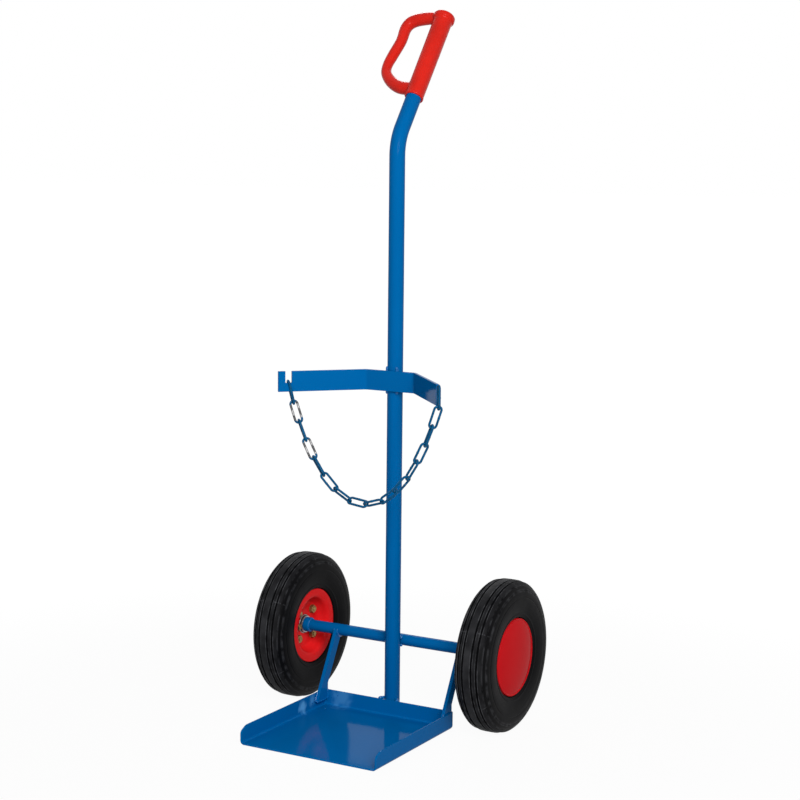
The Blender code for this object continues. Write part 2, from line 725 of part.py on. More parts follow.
def tube_profile(share):
    """The air tube's section: the room in the tyre, shrunk about its middle."""
    middle = (TYRE_RADIUS - TYRE_CROWN + RIM_SEAT_RADIUS + FIT_GAP) / 2
    room = tyre_room()
    mirrored = [(-across, radius) for across, radius in reversed(room)]
    section = room + [(0.0, TYRE_RADIUS - TYRE_CROWN)] + mirrored
    return [(across * share, middle + (radius - middle) * share) for across, radius in section]


def rim_profile():
    """The section of a pressed rim half, for the wheel's outer side."""
    face = FIT_GAP / 2
    seat, lip = RIM_SEAT_RADIUS, RIM_LIP_RADIUS
    inner_lip = RIM_WIDTH / 2
    bore = HUB_DIAMETER / 2 + FIT_GAP
    return [
        (face, bore),
        (face, seat - RIM_WELL_DEPTH),
        (RIM_WELL_DEPTH, seat),
        (inner_lip, seat),
        (inner_lip, lip),
        (LIP_FACE, lip),
        (LIP_FACE, seat - RIM_SHEET),
        (RIM_WELL_DEPTH + RIM_SHEET / 2, seat - RIM_SHEET),
        (face + RIM_SHEET, seat - RIM_WELL_DEPTH - RIM_SHEET / 2),
        (face + RIM_SHEET, bore),
    ]


def cover_profile():
    """The section of the plain cover: a flat edge on the rim's lip and a low crown over the axle's end."""
    radius = RIM_LIP_RADIUS
    crown = COVER_TOP - COVER_SEAT - COVER_SHEET
    slope = [(COVER_TOP - fall * crown, share * radius) for share, fall in COVER_FALL]
    under = [(across - COVER_SHEET, height) for across, height in reversed(slope[:-1])]
    return [
        (COVER_TOP, 0.0),
        *slope,
        (COVER_SEAT + COVER_SHEET, radius),
        (COVER_SEAT, radius),
        (COVER_SEAT, radius - COVER_EDGE),
        *under,
        (COVER_TOP - COVER_SHEET, 0.0),
    ]


def bush_profile(start, end, flange_start, flange_end):
    """A flanged bush's section: a sleeve in the hub and a flange against its end."""
    bore = AXLE_RADIUS + FIT_GAP
    sleeve_radius, flange_radius = BUSH_DIAMETER / 2, BUSH_FLANGE_DIAMETER / 2
    return [
        (start, bore),
        (start, sleeve_radius),
        (end, sleeve_radius),
        (flange_start, sleeve_radius),
        (flange_start, flange_radius),
        (flange_end, flange_radius),
        (flange_end, bore),
    ]


def add_bolt(name, steel, parent, place):
    """A rim bolt with its tightened nut, along X through both rim halves."""
    grip = FIT_GAP / 2 + RIM_SHEET + FIT_GAP
    head_radius = BOLT_HEAD_WIDTH / math.sqrt(3)
    shank = BOLT_DIAMETER / 2
    nut_end = -(grip + BOLT_NUT_HEIGHT)
    profile = [
        (nut_end - BOLT_TIP, 0.0),
        (nut_end - BOLT_TIP, shank),
        (nut_end, shank),
        (nut_end, head_radius),
        (-grip, head_radius),
        (-grip, shank),
        (grip, shank),
        (grip, head_radius),
        (grip + BOLT_HEAD_HEIGHT, head_radius),
        (grip + BOLT_HEAD_HEIGHT, 0.0),
    ]
    add_object(name, turned(name, profile, 6, ring=False), steel, parent, Matrix.Translation(place))


def radial(angle, radius, offset=0.0):
    """A place at a radius from the wheel's axis, off its middle plane by offset."""
    return Vector((offset, radius * math.cos(angle), radius * math.sin(angle)))


def add_wheel(side, sign, finishes):
    """One wheel: tyre, tube, rim halves, hub, bushes, bolts, valve and cover. Its own +X faces out."""
    rubber, red, steel, brass = finishes
    turn = 0.0 if sign > 0 else math.pi
    axis = add_empty(f"{side}_wheel_axis", Vector((sign * WHEEL_X, AXLE_Y, AXLE_HEIGHT)), turn)

    def put(name, mesh, material, matrix=None):
        return add_object(f"{side}_{name}", mesh, material, axis, matrix)

    put("tyre", turned(f"{side}_tyre", tyre_profile(), WHEEL_SIDES), rubber)
    tube = put("inner_tube", turned(f"{side}_inner_tube", tube_profile(TUBE_FILL), WHEEL_SIDES), rubber)
    air = put("tube_air", turned(f"{side}_tube_air", tube_profile(TUBE_AIR), WHEEL_SIDES), None)
    combine(tube, air, "DIFFERENCE")

    outward = turned(f"{side}_outer_rim_half", rim_profile(), WHEEL_SIDES)
    inward = turned(f"{side}_inner_rim_half", [(-x, radius) for x, radius in rim_profile()], WHEEL_SIDES)
    rims = [put("outer_rim_half", outward, red), put("inner_rim_half", inward, red)]
    inner, outer = -HUB_INNER_REACH, HUB_OUTER_REACH
    hub_bore = BUSH_DIAMETER / 2 + FIT_GAP
    put("hub_sleeve", sleeve(f"{side}_hub_sleeve", inner, outer, hub_bore, HUB_DIAMETER / 2), steel)
    outer_bush = (outer - BUSH_LENGTH, outer, outer + FIT_GAP, BUSH_OUTER_FACE)
    inner_bush = (inner + BUSH_LENGTH, inner, inner - FIT_GAP, BUSH_INNER_FACE)
    put("outer_bush", turned(f"{side}_outer_bush", bush_profile(*outer_bush), ROUND_SIDES), rubber)
    put("inner_bush", turned(f"{side}_inner_bush", bush_profile(*inner_bush), ROUND_SIDES), rubber)
    put("wheel_cover", turned(f"{side}_wheel_cover", cover_profile(), WHEEL_SIDES, ring=False), red)

    hole_radius = BOLT_DIAMETER / 2 + FIT_GAP
    hole_half = RIM_WIDTH / 2
    for number in range(BOLT_COUNT):
        place = radial(math.tau * (number + 0.5) / BOLT_COUNT, BOLT_CIRCLE_DIAMETER / 2)
        add_bolt(f"{side}_rim_bolt_{number + 1}", brass, axis, place)
        hole_name = f"bolt_hole_{number + 1}"
        hole_mesh = bar(f"{side}_{hole_name}", -hole_half, hole_half, hole_radius, BOLT_HOLE_SIDES)
        hole = put(hole_name, hole_mesh, None, Matrix.Translation(place))
        for rim in rims:
            combine(rim, hole, "DIFFERENCE")
    add_valve(side, axis, tube, rims[1], finishes)


def add_valve(side, axis, tube, rim, finishes):
    """The valve stem, through the rim into the air tube, and its cap."""
    rubber, _, _, brass = finishes
    radius = VALVE_DIAMETER / 2
    stem_end = RIM_SEAT_RADIUS + VALVE_BASE_REACH
    frame = Matrix.Translation((-VALVE_OFFSET, 0, 0)) @ Matrix.Rotation(math.pi / 2, 4, "Z")
    stem = bar(f"{side}_valve_stem", VALVE_TIP_RADIUS, stem_end, radius, VALVE_SIDES)
    add_object(f"{side}_valve_stem", stem, rubber, axis, frame)
    hole_end = stem_end + VALVE_DIAMETER
    hole_mesh = bar(f"{side}_valve_hole", VALVE_TIP_RADIUS, hole_end, radius + FIT_GAP, VALVE_SIDES)
    hole = add_object(f"{side}_valve_hole", hole_mesh, None, axis, frame)
    combine(tube, hole, "DIFFERENCE")
    combine(rim, hole, "DIFFERENCE")
    bottom = VALVE_TIP_RADIUS - FIT_GAP
    mouth = bottom - VALVE_CAP_WALL + VALVE_CAP_LENGTH
    cap = [
        (bottom - VALVE_CAP_WALL, 0.0),
        (bottom - VALVE_CAP_WALL, VALVE_CAP_DIAMETER / 2),
        (mouth, VALVE_CAP_DIAMETER / 2),
        (mouth, radius + FIT_GAP),
        (bottom, radius + FIT_GAP),
        (bottom, 0.0),
    ]
    cap_mesh = turned(f"{side}_valve_cap", cap, VALVE_SIDES, ring=False)
    add_object(f"{side}_valve_cap", cap_mesh, brass, axis, frame)


def main():
    """Builds the cart."""
    clear_scene()
    blue = finish("blue_paint", (0.0, 0.125, 0.39), 0.32)
    red_plastic = finish("red_plastic", (0.72, 0.02, 0.015), 0.35)
    red_paint = finish("red_paint", (0.58, 0.008, 0.012), 0.3)
    rubber = finish("black_rubber", (0.012, 0.012, 0.013), 0.55)
    steel = finish("bare_steel", (0.55, 0.55, 0.56), 0.35, 1.0)
    zinc = finish("yellow_zinc", (0.62, 0.47, 0.2), 0.4, 1.0)
    add_tray(blue)
    add_mast(blue)
    add_grip(red_plastic)
    add_axle(blue, steel)
    add_braces(blue)
    add_bracket(blue)
    add_chain(blue)
    for side, sign in SIDES.items():
        add_wheel(side, sign, (rubber, red_paint, steel, zinc))


main()
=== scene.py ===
"""Looks of the gas cylinder cart: the studio, the modelled pieces and their finishes.

Metres, +Z up. The cart's front faces -Y and +X is on the right of the picture. Every piece stands where
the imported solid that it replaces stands.
"""

import json
import logging
import math
from contextlib import contextmanager
from dataclasses import dataclass
from enum import Enum
from typing import Callable, Iterator, Sequence

import bmesh
import bpy
from mathutils import Matrix, Vector

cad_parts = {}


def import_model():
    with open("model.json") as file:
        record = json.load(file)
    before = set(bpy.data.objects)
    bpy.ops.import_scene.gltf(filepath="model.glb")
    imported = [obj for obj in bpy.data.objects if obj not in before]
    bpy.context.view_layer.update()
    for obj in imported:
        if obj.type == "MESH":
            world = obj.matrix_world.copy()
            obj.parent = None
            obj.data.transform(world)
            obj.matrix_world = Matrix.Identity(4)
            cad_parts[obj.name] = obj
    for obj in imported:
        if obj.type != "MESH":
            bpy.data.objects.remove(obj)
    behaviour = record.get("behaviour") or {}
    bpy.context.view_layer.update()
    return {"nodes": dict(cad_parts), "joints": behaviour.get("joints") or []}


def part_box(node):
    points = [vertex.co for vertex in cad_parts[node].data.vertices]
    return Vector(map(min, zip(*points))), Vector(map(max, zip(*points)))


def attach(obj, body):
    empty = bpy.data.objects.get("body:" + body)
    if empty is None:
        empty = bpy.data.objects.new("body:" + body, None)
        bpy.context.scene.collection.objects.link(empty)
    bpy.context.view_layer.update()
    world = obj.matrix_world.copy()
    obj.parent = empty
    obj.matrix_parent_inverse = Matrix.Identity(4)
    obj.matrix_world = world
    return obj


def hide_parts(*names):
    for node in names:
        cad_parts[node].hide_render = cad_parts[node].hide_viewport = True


LOG = logging.getLogger("cylinder_cart")
FRAME_BODY = "frame"
MERGE = 1e-6
SEED_SIZE = 0.001
SMOOTH_ANGLE = math.radians(32)
SHARP_ANGLE = math.radians(40)
Colour = tuple[float, float, float, float]
Point = tuple[float, float]
Triple = tuple[float, float, float]
Piece = bpy.types.Object
WHITE: Colour = (1.0, 1.0, 1.0, 1.0)


class Slot(Enum):
    """The record's material slots."""

    BLUE = "blue_paint"
    RED = "red_paint"
    GRIP = "red_plastic"
    TYRE = "tyre_rubber"
    TUBE = "tube_rubber"
    BUSH = "bush_plastic"
    STEEL = "bare_steel"
    ZINC = "yellow_zinc"


class Side(Enum):
    """The two sides of the cart, with the sign of X on each."""

    LEFT = -1
    RIGHT = 1

    @property
    def word(self) -> str:
        """The side's name in the names of nodes and bodies."""
        return self.name.lower()

    @property
    def body(self) -> str:
        """The body of the wheel on this side."""
        return f"{self.word}_wheel"

    def mirrored(self, places: Sequence[Triple]) -> list[Vector]:
        """Places that are given for the right side, on this side."""
        return [Vector((self.value * x, y, z)) for x, y, z in places]


class Element(Enum):
    """What is selected in edit mode."""

    POINT = "VERT"
    EDGE = "EDGE"
    FACE = "FACE"


def darker(colour: Colour, share: float) -> Colour:
    """A colour times a share."""
    return (*(share * part for part in colour[:3]), 1.0)


def solid_corners(node: str) -> tuple[Vector, Vector]:
    """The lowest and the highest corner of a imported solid."""
    low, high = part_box(node)
    return Vector(low), Vector(high)


def axes_matrix(axes: Sequence[Sequence[float]], place: Sequence[float]) -> Matrix:
    """Builds a matrix.

    Args:
        axes: Its three axes.
        place: Its place.

    Returns:
        The matrix.
    """
    matrix = Matrix.Identity(4)
    for column, axis in enumerate(axes):
        matrix.col[column][:3] = axis
    matrix.translation = place
    return matrix


class Value:
    """A node's output, with the arithmetic that adds Math nodes."""

    def __init__(self, kit: "NodeKit", socket: bpy.types.NodeSocket) -> None:
        """Keeps the socket and the nodes that it belongs to."""
        self.kit = kit
        self.socket = socket

    def math(self, operation: str, first: "Value | float", second: "Value | float" = 0.0) -> "Value":
        """The output of a Math node with this operation and these operands."""
        return self.kit.add("ShaderNodeMath", {"operation": operation}, {0: first, 1: second})

    def __add__(self, other: "Value | float") -> "Value":
        """The sum."""
        return self.math("ADD", self, other)

    def __sub__(self, other: "Value | float") -> "Value":
        """The difference."""
        return self.math("SUBTRACT", self, other)

    def __rsub__(self, other: "Value | float") -> "Value":
        """The difference from a number."""
        return self.math("SUBTRACT", other, self)

    def __mul__(self, other: "Value | float") -> "Value":
        """The product."""
        return self.math("MULTIPLY", self, other)

    def __truediv__(self, other: "Value | float") -> "Value":
        """The quotient."""
        return self.math("DIVIDE", self, other)

    def __rtruediv__(self, other: "Value | float") -> "Value":
        """A number divided by this."""
        return self.math("DIVIDE", other, self)

    __radd__ = __add__
    __rmul__ = __mul__

    def size(self) -> "Value":
        """The value without its sign."""
        return self.math("ABSOLUTE", self)

    def step(self, low: float, high: float) -> "Value":
        """A soft step.

        Args:
            low: Where it is 0.
            high: Where it is 1. It may be below low.

        Returns:
            A value from 0 to 1.
        """
        if low > high:
            return 1 - self.step(high, low)
        settings = {"interpolation_type": "SMOOTHSTEP", "clamp": True}
        return self.kit.add("ShaderNodeMapRange", settings, {0: self, 1: low, 2: high})

    def beside(self, name: str) -> "Value":
        """Another output of the same node."""
        return Value(self.kit, self.socket.node.outputs[name])


def length_of(*parts: Value) -> Value:
    """The length of the vector with these parts."""
    square = sum(part * part for part in parts)
    return square.math("SQRT", square)


class NodeKit:
    """Fills a node tree."""

    def __init__(self, tree: bpy.types.NodeTree) -> None:
        """Starts with the tree empty."""
        self.tree = tree
        tree.nodes.clear()

    def node(self, kind: str, settings: dict, inputs: dict) -> bpy.types.Node:
        """Adds a node.

        Args:
            kind: The node's type.
            settings: Its properties, which are set first.
            inputs: Values or links by the name or number of the socket.

        Returns:
            The node.
        """
        node = self.tree.nodes.new(kind)
        for name, value in settings.items():
            setattr(node, name, value)
        for key, value in inputs.items():
            if isinstance(value, Value):
                self.tree.links.new(value.socket, node.inputs[key])
            else:
                node.inputs[key].default_value = value
        return node

    def add(self, kind: str, settings: dict, inputs: dict, output: "int | str" = 0) -> Value:
        """Adds a node and gives one of its outputs, by its name or number."""
        return Value(self, self.node(kind, settings, inputs).outputs[output])

    def seen(self) -> Value:
        """Tells rays apart.

        Returns:
            1 for a ray from the camera, in gloss or through glass, and 0 for light on the object.
        """
        camera = self.add("ShaderNodeLightPath", {}, {}, "Is Camera Ray")
        rays = camera + camera.beside("Is Glossy Ray") + camera.beside("Is Transmission Ray")
        return rays.step(0.0, 1.0)

    def end(self, kind: str, shader: Value) -> None:
        """Ends the tree with an output node of this kind."""
        self.node(kind, {}, {"Surface": shader})


class Paintbox(NodeKit):
    """Builds one node material."""

    def __init__(self, name: str, centre: Sequence[float] = (0.0, 0.0, 0.0)) -> None:
        """Starts a material.

        Args:
            name: The material's name.
            centre: Where its patterns are measured from.
        """
        self.material = bpy.data.materials.new(name)
        self.material.use_nodes = True
        super().__init__(self.material.node_tree)
        place = self.add("ShaderNodeTexCoord", {}, {}, "Object")
        away = [-value for value in centre]
        self.place = self.add("ShaderNodeMapping", {}, {"Vector": place, "Location": away})

    def noise(self, scale: float, detail: float = 2.0, stretch: Triple = (1, 1, 1)) -> Value:
        """Adds a noise pattern.

        Args:
            scale: Its waves to the metre, about.
            detail: How much finer noise is added.
            stretch: A factor on each axis.

        Returns:
            Its value, from 0 to 1 with a mean of a half.
        """
        where = self.place
        if stretch != (1, 1, 1):
            where = self.add("ShaderNodeMapping", {}, {"Vector": where, "Scale": stretch})
        return self.add("ShaderNodeTexNoise", {}, {"Vector": where, "Scale": scale, "Detail": detail})

    def cells(self, scale: float) -> Value:
        """The distance to the nearest of scattered points, at so many cells to the metre."""
        return self.add("ShaderNodeTexVoronoi", {}, {"Vector": self.place, "Scale": scale})

    def axes(self) -> tuple[Value, Value, Value]:
        """The three coordinates from the centre."""
        first = self.add("ShaderNodeSeparateXYZ", {}, {0: self.place})
        return first, first.beside("Y"), first.beside("Z")

    def vector(self, operation: str, other: Sequence[float]) -> Value:
        """Works out a number, such as a distance, from the place and a fixed vector."""
        inputs = {0: self.place, 1: other}
        return self.add("ShaderNodeVectorMath", {"operation": operation}, inputs, "Value")

    def mix(self, share: "Value | float", first: "Value | Colour", second: "Value | Colour") -> Value:
        """Mixes two colours, with this share of the second."""
        return self.add("ShaderNodeMix", {"data_type": "RGBA"}, {0: share, 6: first, 7: second}, 2)

    def bump(self, height: Value, depth: float, strength: float) -> Value:
        """A normal from heights, of which 1 stands for the depth in metres, at this strength."""
        inputs = {"Height": height, "Distance": depth, "Strength": strength}
        return self.add("ShaderNodeBump", {}, inputs)

    def show(self, shader: Value) -> bpy.types.Material:
        """Ends the material with this shader."""
        self.end("ShaderNodeOutputMaterial", shader)
        return self.material

    def surface(self, slot: Slot, **inputs: "Value | float | Colour") -> "Coat":
        """The finish with a Principled shader. Low lines stand for the spaces in the sockets' names."""
        named = {key.replace("_", " "): value for key, value in inputs.items()}
        return Coat(self.show(self.add("ShaderNodeBsdfPrincipled", {}, named)), slot)


@dataclass(frozen=True)
class Coat:
    """A finished material and the slot that it stands for."""

    material: bpy.types.Material
    slot: Slot


@dataclass(frozen=True)
class PowderCoat:
    """Smooth gloss powder paint with a faint orange peel, a few specks and, where places are given, pale
    patches of painted reflection.
    """

    name: str
    slot: Slot
    colour: Colour
    shade: Colour
    roughness: float = 0.07
    specular: float = 0.016
    peel_scale: float = 420.0
    peel_depth: float = 0.00004
    speck: Colour = (0.42, 0.46, 0.52, 1.0)
    haze: Colour = (0.130, 0.440, 0.800, 1.0)
    # Places of the patches of painted reflection, each with its reach and its strength
    hazed: tuple = ()

    def make(self) -> Coat:
        """Builds the paint.

        Returns:
            The finish.
        """
        paints = Paintbox(self.name)
        cloud = paints.noise(9.0, 3.0).step(0.3, 0.8)
        colour = paints.mix(cloud, self.colour, self.shade)
        specks = paints.cells(260.0).step(0.10, 0.03) * paints.noise(60.0).step(0.58, 0.66)
        colour = paints.mix(specks * 0.05, colour, self.speck)
        # Pale patches of painted reflection, strongest at their middles
        for *place, reach, strength in self.hazed:
            away = paints.vector("DISTANCE", place) + (paints.noise(85.0, 1.0) - 0.5) * reach
            colour = paints.mix(away.step(reach, 0.2 * reach) * strength, colour, self.haze)
        peel = paints.noise(self.peel_scale, 1.0) + paints.noise(self.peel_scale * 0.3, 1.0)
        return paints.surface(
            self.slot,
            Base_Color=colour,
            Roughness=self.roughness + paints.noise(90.0, 3.0) * 0.05,
            Normal=paints.bump(peel, self.peel_depth, 0.6),
            Specular_IOR_Level=self.specular,
        )


@dataclass(frozen=True)
class ChainPaint:
    """Dipped paint on a chain, chipped here and there. A bare link's long sides are rubbed to the metal."""

    name: str
    colour: Colour
    centre: Triple = (0.0, 0.0, 0.0)
    bare: bool = False
    bare_edge: Point = (0.0155, 0.0140)
    dull: Colour = (0.070, 0.070, 0.073, 1.0)
    bright: Colour = (0.29, 0.287, 0.29, 1.0)

    def make(self) -> Coat:
        """Builds the worn paint.

        Returns:
            The finish.
        """
        paints = Paintbox(self.name, self.centre)
        if self.bare:
            away = length_of(*paints.axes()) + (paints.noise(90.0, 0.0) - 0.5) * 0.012
            worn = away.step(*self.bare_edge)
        else:
            worn = paints.noise(150.0, 3.0).step(0.70, 0.74)
        cloud = paints.noise(120.0, 2.0).step(0.3, 0.7)
        paint = paints.mix(cloud, self.colour, darker(self.colour, 0.72))
        metal = paints.mix(paints.noise(85.0, 0.0).step(0.40, 0.60), self.dull, self.bright)
        runs = paints.noise(240.0, 2.0) + paints.noise(60.0)
        return paints.surface(
            Slot.BLUE,
            Base_Color=paints.mix(worn, paint, metal),
            Metallic=worn * 0.85,
            Roughness=0.24 + paints.noise(200.0) * 0.12 + worn * 0.20,
            Normal=paints.bump(runs * (1 - worn) + (1 - worn) * 0.8, 0.00004, 0.5),
            Specular_IOR_Level=0.05,
        )


@dataclass(frozen=True)
class GripPlastic:
    """Glossy moulded plastic with sink marks and a mould seam along the guard's plane."""

    colour: Colour
    centre: Triple
    plane: Triple

    def make(self) -> Coat:
        """Builds the plastic.

        Returns:
            The finish.
        """
        paints = Paintbox("grip_plastic", self.centre)
        seam = paints.vector("DOT_PRODUCT", self.plane).size().step(0.0006, 0.0001)
        cloud = paints.noise(30.0, 3.0).step(0.3, 0.8)
        deep = darker(self.colour, 0.82)
        colour = paints.mix(seam * 0.25, paints.mix(cloud, self.colour, deep), deep)
        scuffs = paints.noise(600.0, 2.0, (1.0, 1.0, 0.12)).step(0.66, 0.76)
        waves = paints.noise(38.0, 1.0) + paints.noise(320.0, 2.0) * 0.06 + seam * 0.12
        return paints.surface(
            Slot.GRIP,
            Base_Color=colour,
            Roughness=0.16 + paints.noise(70.0, 4.0) * 0.10 + scuffs * 0.12,
            Normal=paints.bump(waves, 0.0006, 0.5),
            Specular_IOR_Level=0.08,
        )


@dataclass(frozen=True)
class TyreRubber:
    """Black rubber round a wheel's axle: dusty ribs with painted highlights on the centre rib, the rib edges
    and the shoulder ridges, smooth sidewalls and broken moulding marks.
    """

    name: str
    centre: Triple
    wheel: "Wheel"
    marks: int = 6
    rib_edge: float = 0.0021
    # Where painted highlights run round the shoulder ridges, across from the middle
    shoulder_lines: Point = (0.0247, 0.0290)
    black: Colour = (0.0026, 0.0026, 0.0031, 1.0)
    cloudy: Colour = (0.0048, 0.0048, 0.0054, 1.0)
    # The pale grey of dust, which also stands for the painted highlights
    dusty: Colour = (0.070, 0.071, 0.077, 1.0)

    def make(self) -> Coat:
        """Builds the rubber.

        Returns:
            The finish.
        """
        paints = Paintbox(self.name, self.centre)
        across, back, up = paints.axes()
        reach = across.size()
        radius = length_of(back, up)
        turn = across.math("ARCTAN2", up, back)
        sector = math.tau / self.marks
        share = across.math("PINGPONG", turn + sector / 2, sector / 2)
        powered = across.math("POWER", reach / self.wheel.section_half, self.wheel.roundness)
        bulge = across.math("POWER", 1 - powered, 1 / self.wheel.roundness)
        under = self.wheel.widest + bulge * (self.wheel.crown - self.wheel.widest) - radius
        tread = under.step(0.0012, 0.0004) * reach.step(0.0242, 0.0234)
        mark = share.step(0.010, 0.006) * reach.step(0.009, 0.012) * reach.step(0.029, 0.026)
        mark = mark * paints.noise(320.0).step(0.42, 0.60) * radius.step(0.110, 0.115)
        dust = paints.noise(55.0, 5.0).step(0.30, 0.85) * tread
        worn = paints.noise(70.0, 3.0).step(0.34, 0.66)
        # Pale lines along the rib edges: partly wear, partly painted highlight
        offsets = (-self.rib_edge, self.rib_edge)
        edges = [place + offset for place in self.wheel.grooves for offset in offsets if place > 0]
        rubbed = sum((reach - edge).size().step(0.0010, 0.0003) for edge in edges) * worn * tread
        # Pale rings on the shoulder ridges: painted highlights
        lines = sum((reach - line).size().step(0.0012, 0.0005) for line in self.shoulder_lines)
        lines = lines * worn * radius.step(0.110, 0.112)
        # A paler band on the centre rib: painted highlight
        crown_highlight = reach.step(0.0064, 0.0054) * paints.noise(24.0, 4.0).step(0.30, 0.70) * tread
        # Dust, mould marks and the painted highlights, mixed towards the pale grey
        dust_and_painted_highlights = tread * 0.06 + dust * 0.20 + crown_highlight * 0.26 + rubbed * 0.8 + lines * 0.4 + mark * 0.5
        colour = paints.mix(paints.noise(18.0, 4.0).step(0.35, 0.75), self.black, self.cloudy)
        grain = paints.noise(1400.0, 3.0) * 0.12 + paints.noise(130.0, 2.0) * 0.25
        rings = across.math("SINE", radius * 2600.0) * 0.04
        return paints.surface(
            Slot.TYRE,
            Base_Color=paints.mix(dust_and_painted_highlights, colour, self.dusty),
            Roughness=0.42 + dust * 0.28 + paints.noise(60.0, 3.0) * 0.12,
            Normal=paints.bump(grain + rings + mark * 0.5, 0.0005, 0.5),
            Specular_IOR_Level=0.035,
        )


@dataclass(frozen=True)
class Plating:
    """Plated steel with fine turning lines and stains."""

    name: str
    slot: Slot
    colour: Colour
    stain: Colour
    roughness: float

    def make(self) -> Coat:
        """Builds the plated metal.

        Returns:
            The finish.
        """
        paints = Paintbox(self.name)
        blotch = paints.noise(160.0, 4.0).step(0.38, 0.72)
        lines = paints.noise(900.0, 2.0, (1.0, 0.15, 0.15))
        return paints.surface(
            self.slot,
            Base_Color=paints.mix(blotch, self.colour, self.stain),
            Metallic=1.0,
            Roughness=self.roughness + blotch * 0.14 + lines * 0.08,
            Normal=paints.bump(lines, 0.00008, 0.6),
        )


@dataclass(frozen=True)
class PlainPlastic:
    """Dull plastic or rubber of a bush or an air tube."""

    name: str
    slot: Slot
    colour: Colour
    worn: Colour

    def make(self) -> Coat:
        """Builds the plastic.

        Returns:
            The finish.
        """
        paints = Paintbox(self.name)
        cloud = paints.noise(80.0, 4.0).step(0.35, 0.7)
        return paints.surface(
            self.slot,
            Base_Color=paints.mix(cloud, self.colour, self.worn),
            Roughness=0.45 + cloud * 0.2,
            Normal=paints.bump(paints.noise(700.0, 2.0), 0.0001, 0.5),
            Specular_IOR_Level=0.35,
        )


class Bench:
    """The modelling steps that the sub-assemblies share."""

    @staticmethod
    def clear() -> None:
        """Leaves nothing selected."""
        bpy.ops.object.select_all(action="DESELECT")

    @staticmethod
    def take(*pieces: Piece) -> None:
        """Selects pieces and nothing else.

        Args:
            pieces: The pieces, the active one first.
        """
        Bench.clear()
        for piece in pieces:
            piece.select_set(True)
        bpy.context.view_layer.objects.active = pieces[0]

    @staticmethod
    def start(name: str, primitive: Callable[..., object], **settings: object) -> Piece:
        """Adds a primitive with nothing else selected, and applies its place.

        Args:
            name: The piece's name.
            primitive: The operator that adds it.
            settings: The operator's settings.

        Returns:
            The piece.
        """
        Bench.clear()
        primitive(**settings)
        piece = bpy.context.active_object
        piece.name = name
        Bench.place(piece)
        return piece

    @staticmethod
    def rod(name: str, sides: int, radius: float, length: float, place: Sequence[float]) -> Piece:
        """Starts a bar along X.

        Args:
            name: The piece's name.
            sides: How many sides it has.
            radius: The radius to its corners.
            length: Its length.
            place: Its middle.

        Returns:
            The bar.
        """
        add = bpy.ops.mesh.primitive_cylinder_add
        along = (0, math.pi / 2, 0)
        return Bench.start(
            name, add, vertices=sides, radius=radius, depth=length, location=place, rotation=along
        )

    @staticmethod
    def place(piece: Piece, matrix: Matrix | None = None) -> None:
        """Applies a piece's place to its mesh.

        Args:
            piece: The piece.
            matrix: Where it is moved first, if anywhere.
        """
        Bench.take(piece)
        if matrix is not None:
            piece.matrix_world = matrix
        bpy.ops.object.transform_apply(location=True, rotation=True, scale=True)

    @staticmethod
    @contextmanager
    def editing(piece: Piece, kind: Element = Element.POINT) -> Iterator[None]:
        """Edits a piece, with all of it selected at first.

        Args:
            piece: The piece.
            kind: What is selected on it.
        """
        Bench.take(piece)
        bpy.ops.object.mode_set(mode="EDIT")
        bpy.ops.mesh.select_mode(type=kind.value)
        bpy.ops.mesh.select_all(action="SELECT")
        yield
        bpy.ops.object.mode_set(mode="OBJECT")

    @staticmethod
    def pick(piece: Piece, kind: Element, test: Callable[..., bool]) -> None:
        """Selects elements of a piece that is being edited, and only those.

        Args:
            piece: The piece.
            kind: Which of its elements.
            test: Gets a point's place, an edge's two ends, or a face's middle and normal.
        """
        bpy.ops.mesh.select_mode(type=kind.value)
        bpy.ops.mesh.select_all(action="DESELECT")
        shape = bmesh.from_edit_mesh(piece.data)
        if kind is Element.POINT:
            chosen = [point for point in shape.verts if test(point.co)]
        elif kind is Element.EDGE:
            chosen = [edge for edge in shape.edges if test(edge.verts[0].co, edge.verts[1].co)]
        else:
            chosen = [face for face in shape.faces if test(face.calc_center_median(), face.normal)]
        for item in chosen:
            item.select_set(True)
        shape.select_flush_mode()
        bmesh.update_edit_mesh(piece.data)

    @staticmethod
    def push(step: Sequence[float]) -> None:
        """Extrudes what is selected by a step."""
        bpy.ops.mesh.extrude_region_move(TRANSFORM_OT_translate={"value": step})

    @staticmethod
    def tidy(piece: Piece) -> None:
        """Merges doubles and turns the faces out.

        Args:
            piece: The piece.
        """
        with Bench.editing(piece):
            bpy.ops.mesh.remove_doubles(threshold=MERGE)
            bpy.ops.mesh.normals_make_consistent(inside=False)

    @staticmethod
    def draw(name: str, points: Sequence[Sequence[float]], closed: bool) -> Piece:
        """Draws a line by extruding a point from place to place.

        Args:
            name: The piece's name.
            points: The places.
            closed: Whether the last is joined to the first.

        Returns:
            The line, as a mesh of edges.
        """
        places = [Vector(point) for point in points]
        piece = Bench.start(name, bpy.ops.mesh.primitive_plane_add, size=SEED_SIZE, location=places[0])
        with Bench.editing(piece):
            bpy.ops.mesh.merge(type="CENTER")
            for before, after in zip(places, places[1:]):
                bpy.ops.mesh.extrude_vertices_move(TRANSFORM_OT_translate={"value": after - before})
            if closed:
                shape = bmesh.from_edit_mesh(piece.data)
                shape.verts.ensure_lookup_table()
                shape.verts[0].select_set(True)
                bmesh.update_edit_mesh(piece.data)
                bpy.ops.mesh.edge_face_add()
        return piece

    @staticmethod
    def lathe(name: str, section: Sequence[Point], steps: int, closed: bool = True) -> Piece:
        """Spins a section about the X axis.

        Args:
            name: The piece's name.
            section: Places along the axis with their radii.
            steps: The steps of a full turn.
            closed: Whether the section closes on itself. Otherwise its ends lie on the axis.

        Returns:
            The closed turned piece.
        """
        piece = Bench.draw(name, [(along, 0.0, radius) for along, radius in section], closed)
        with Bench.editing(piece):
            bpy.ops.mesh.spin(steps=steps, angle=math.tau, center=(0, 0, 0), axis=(1, 0, 0))
        Bench.tidy(piece)
        return piece

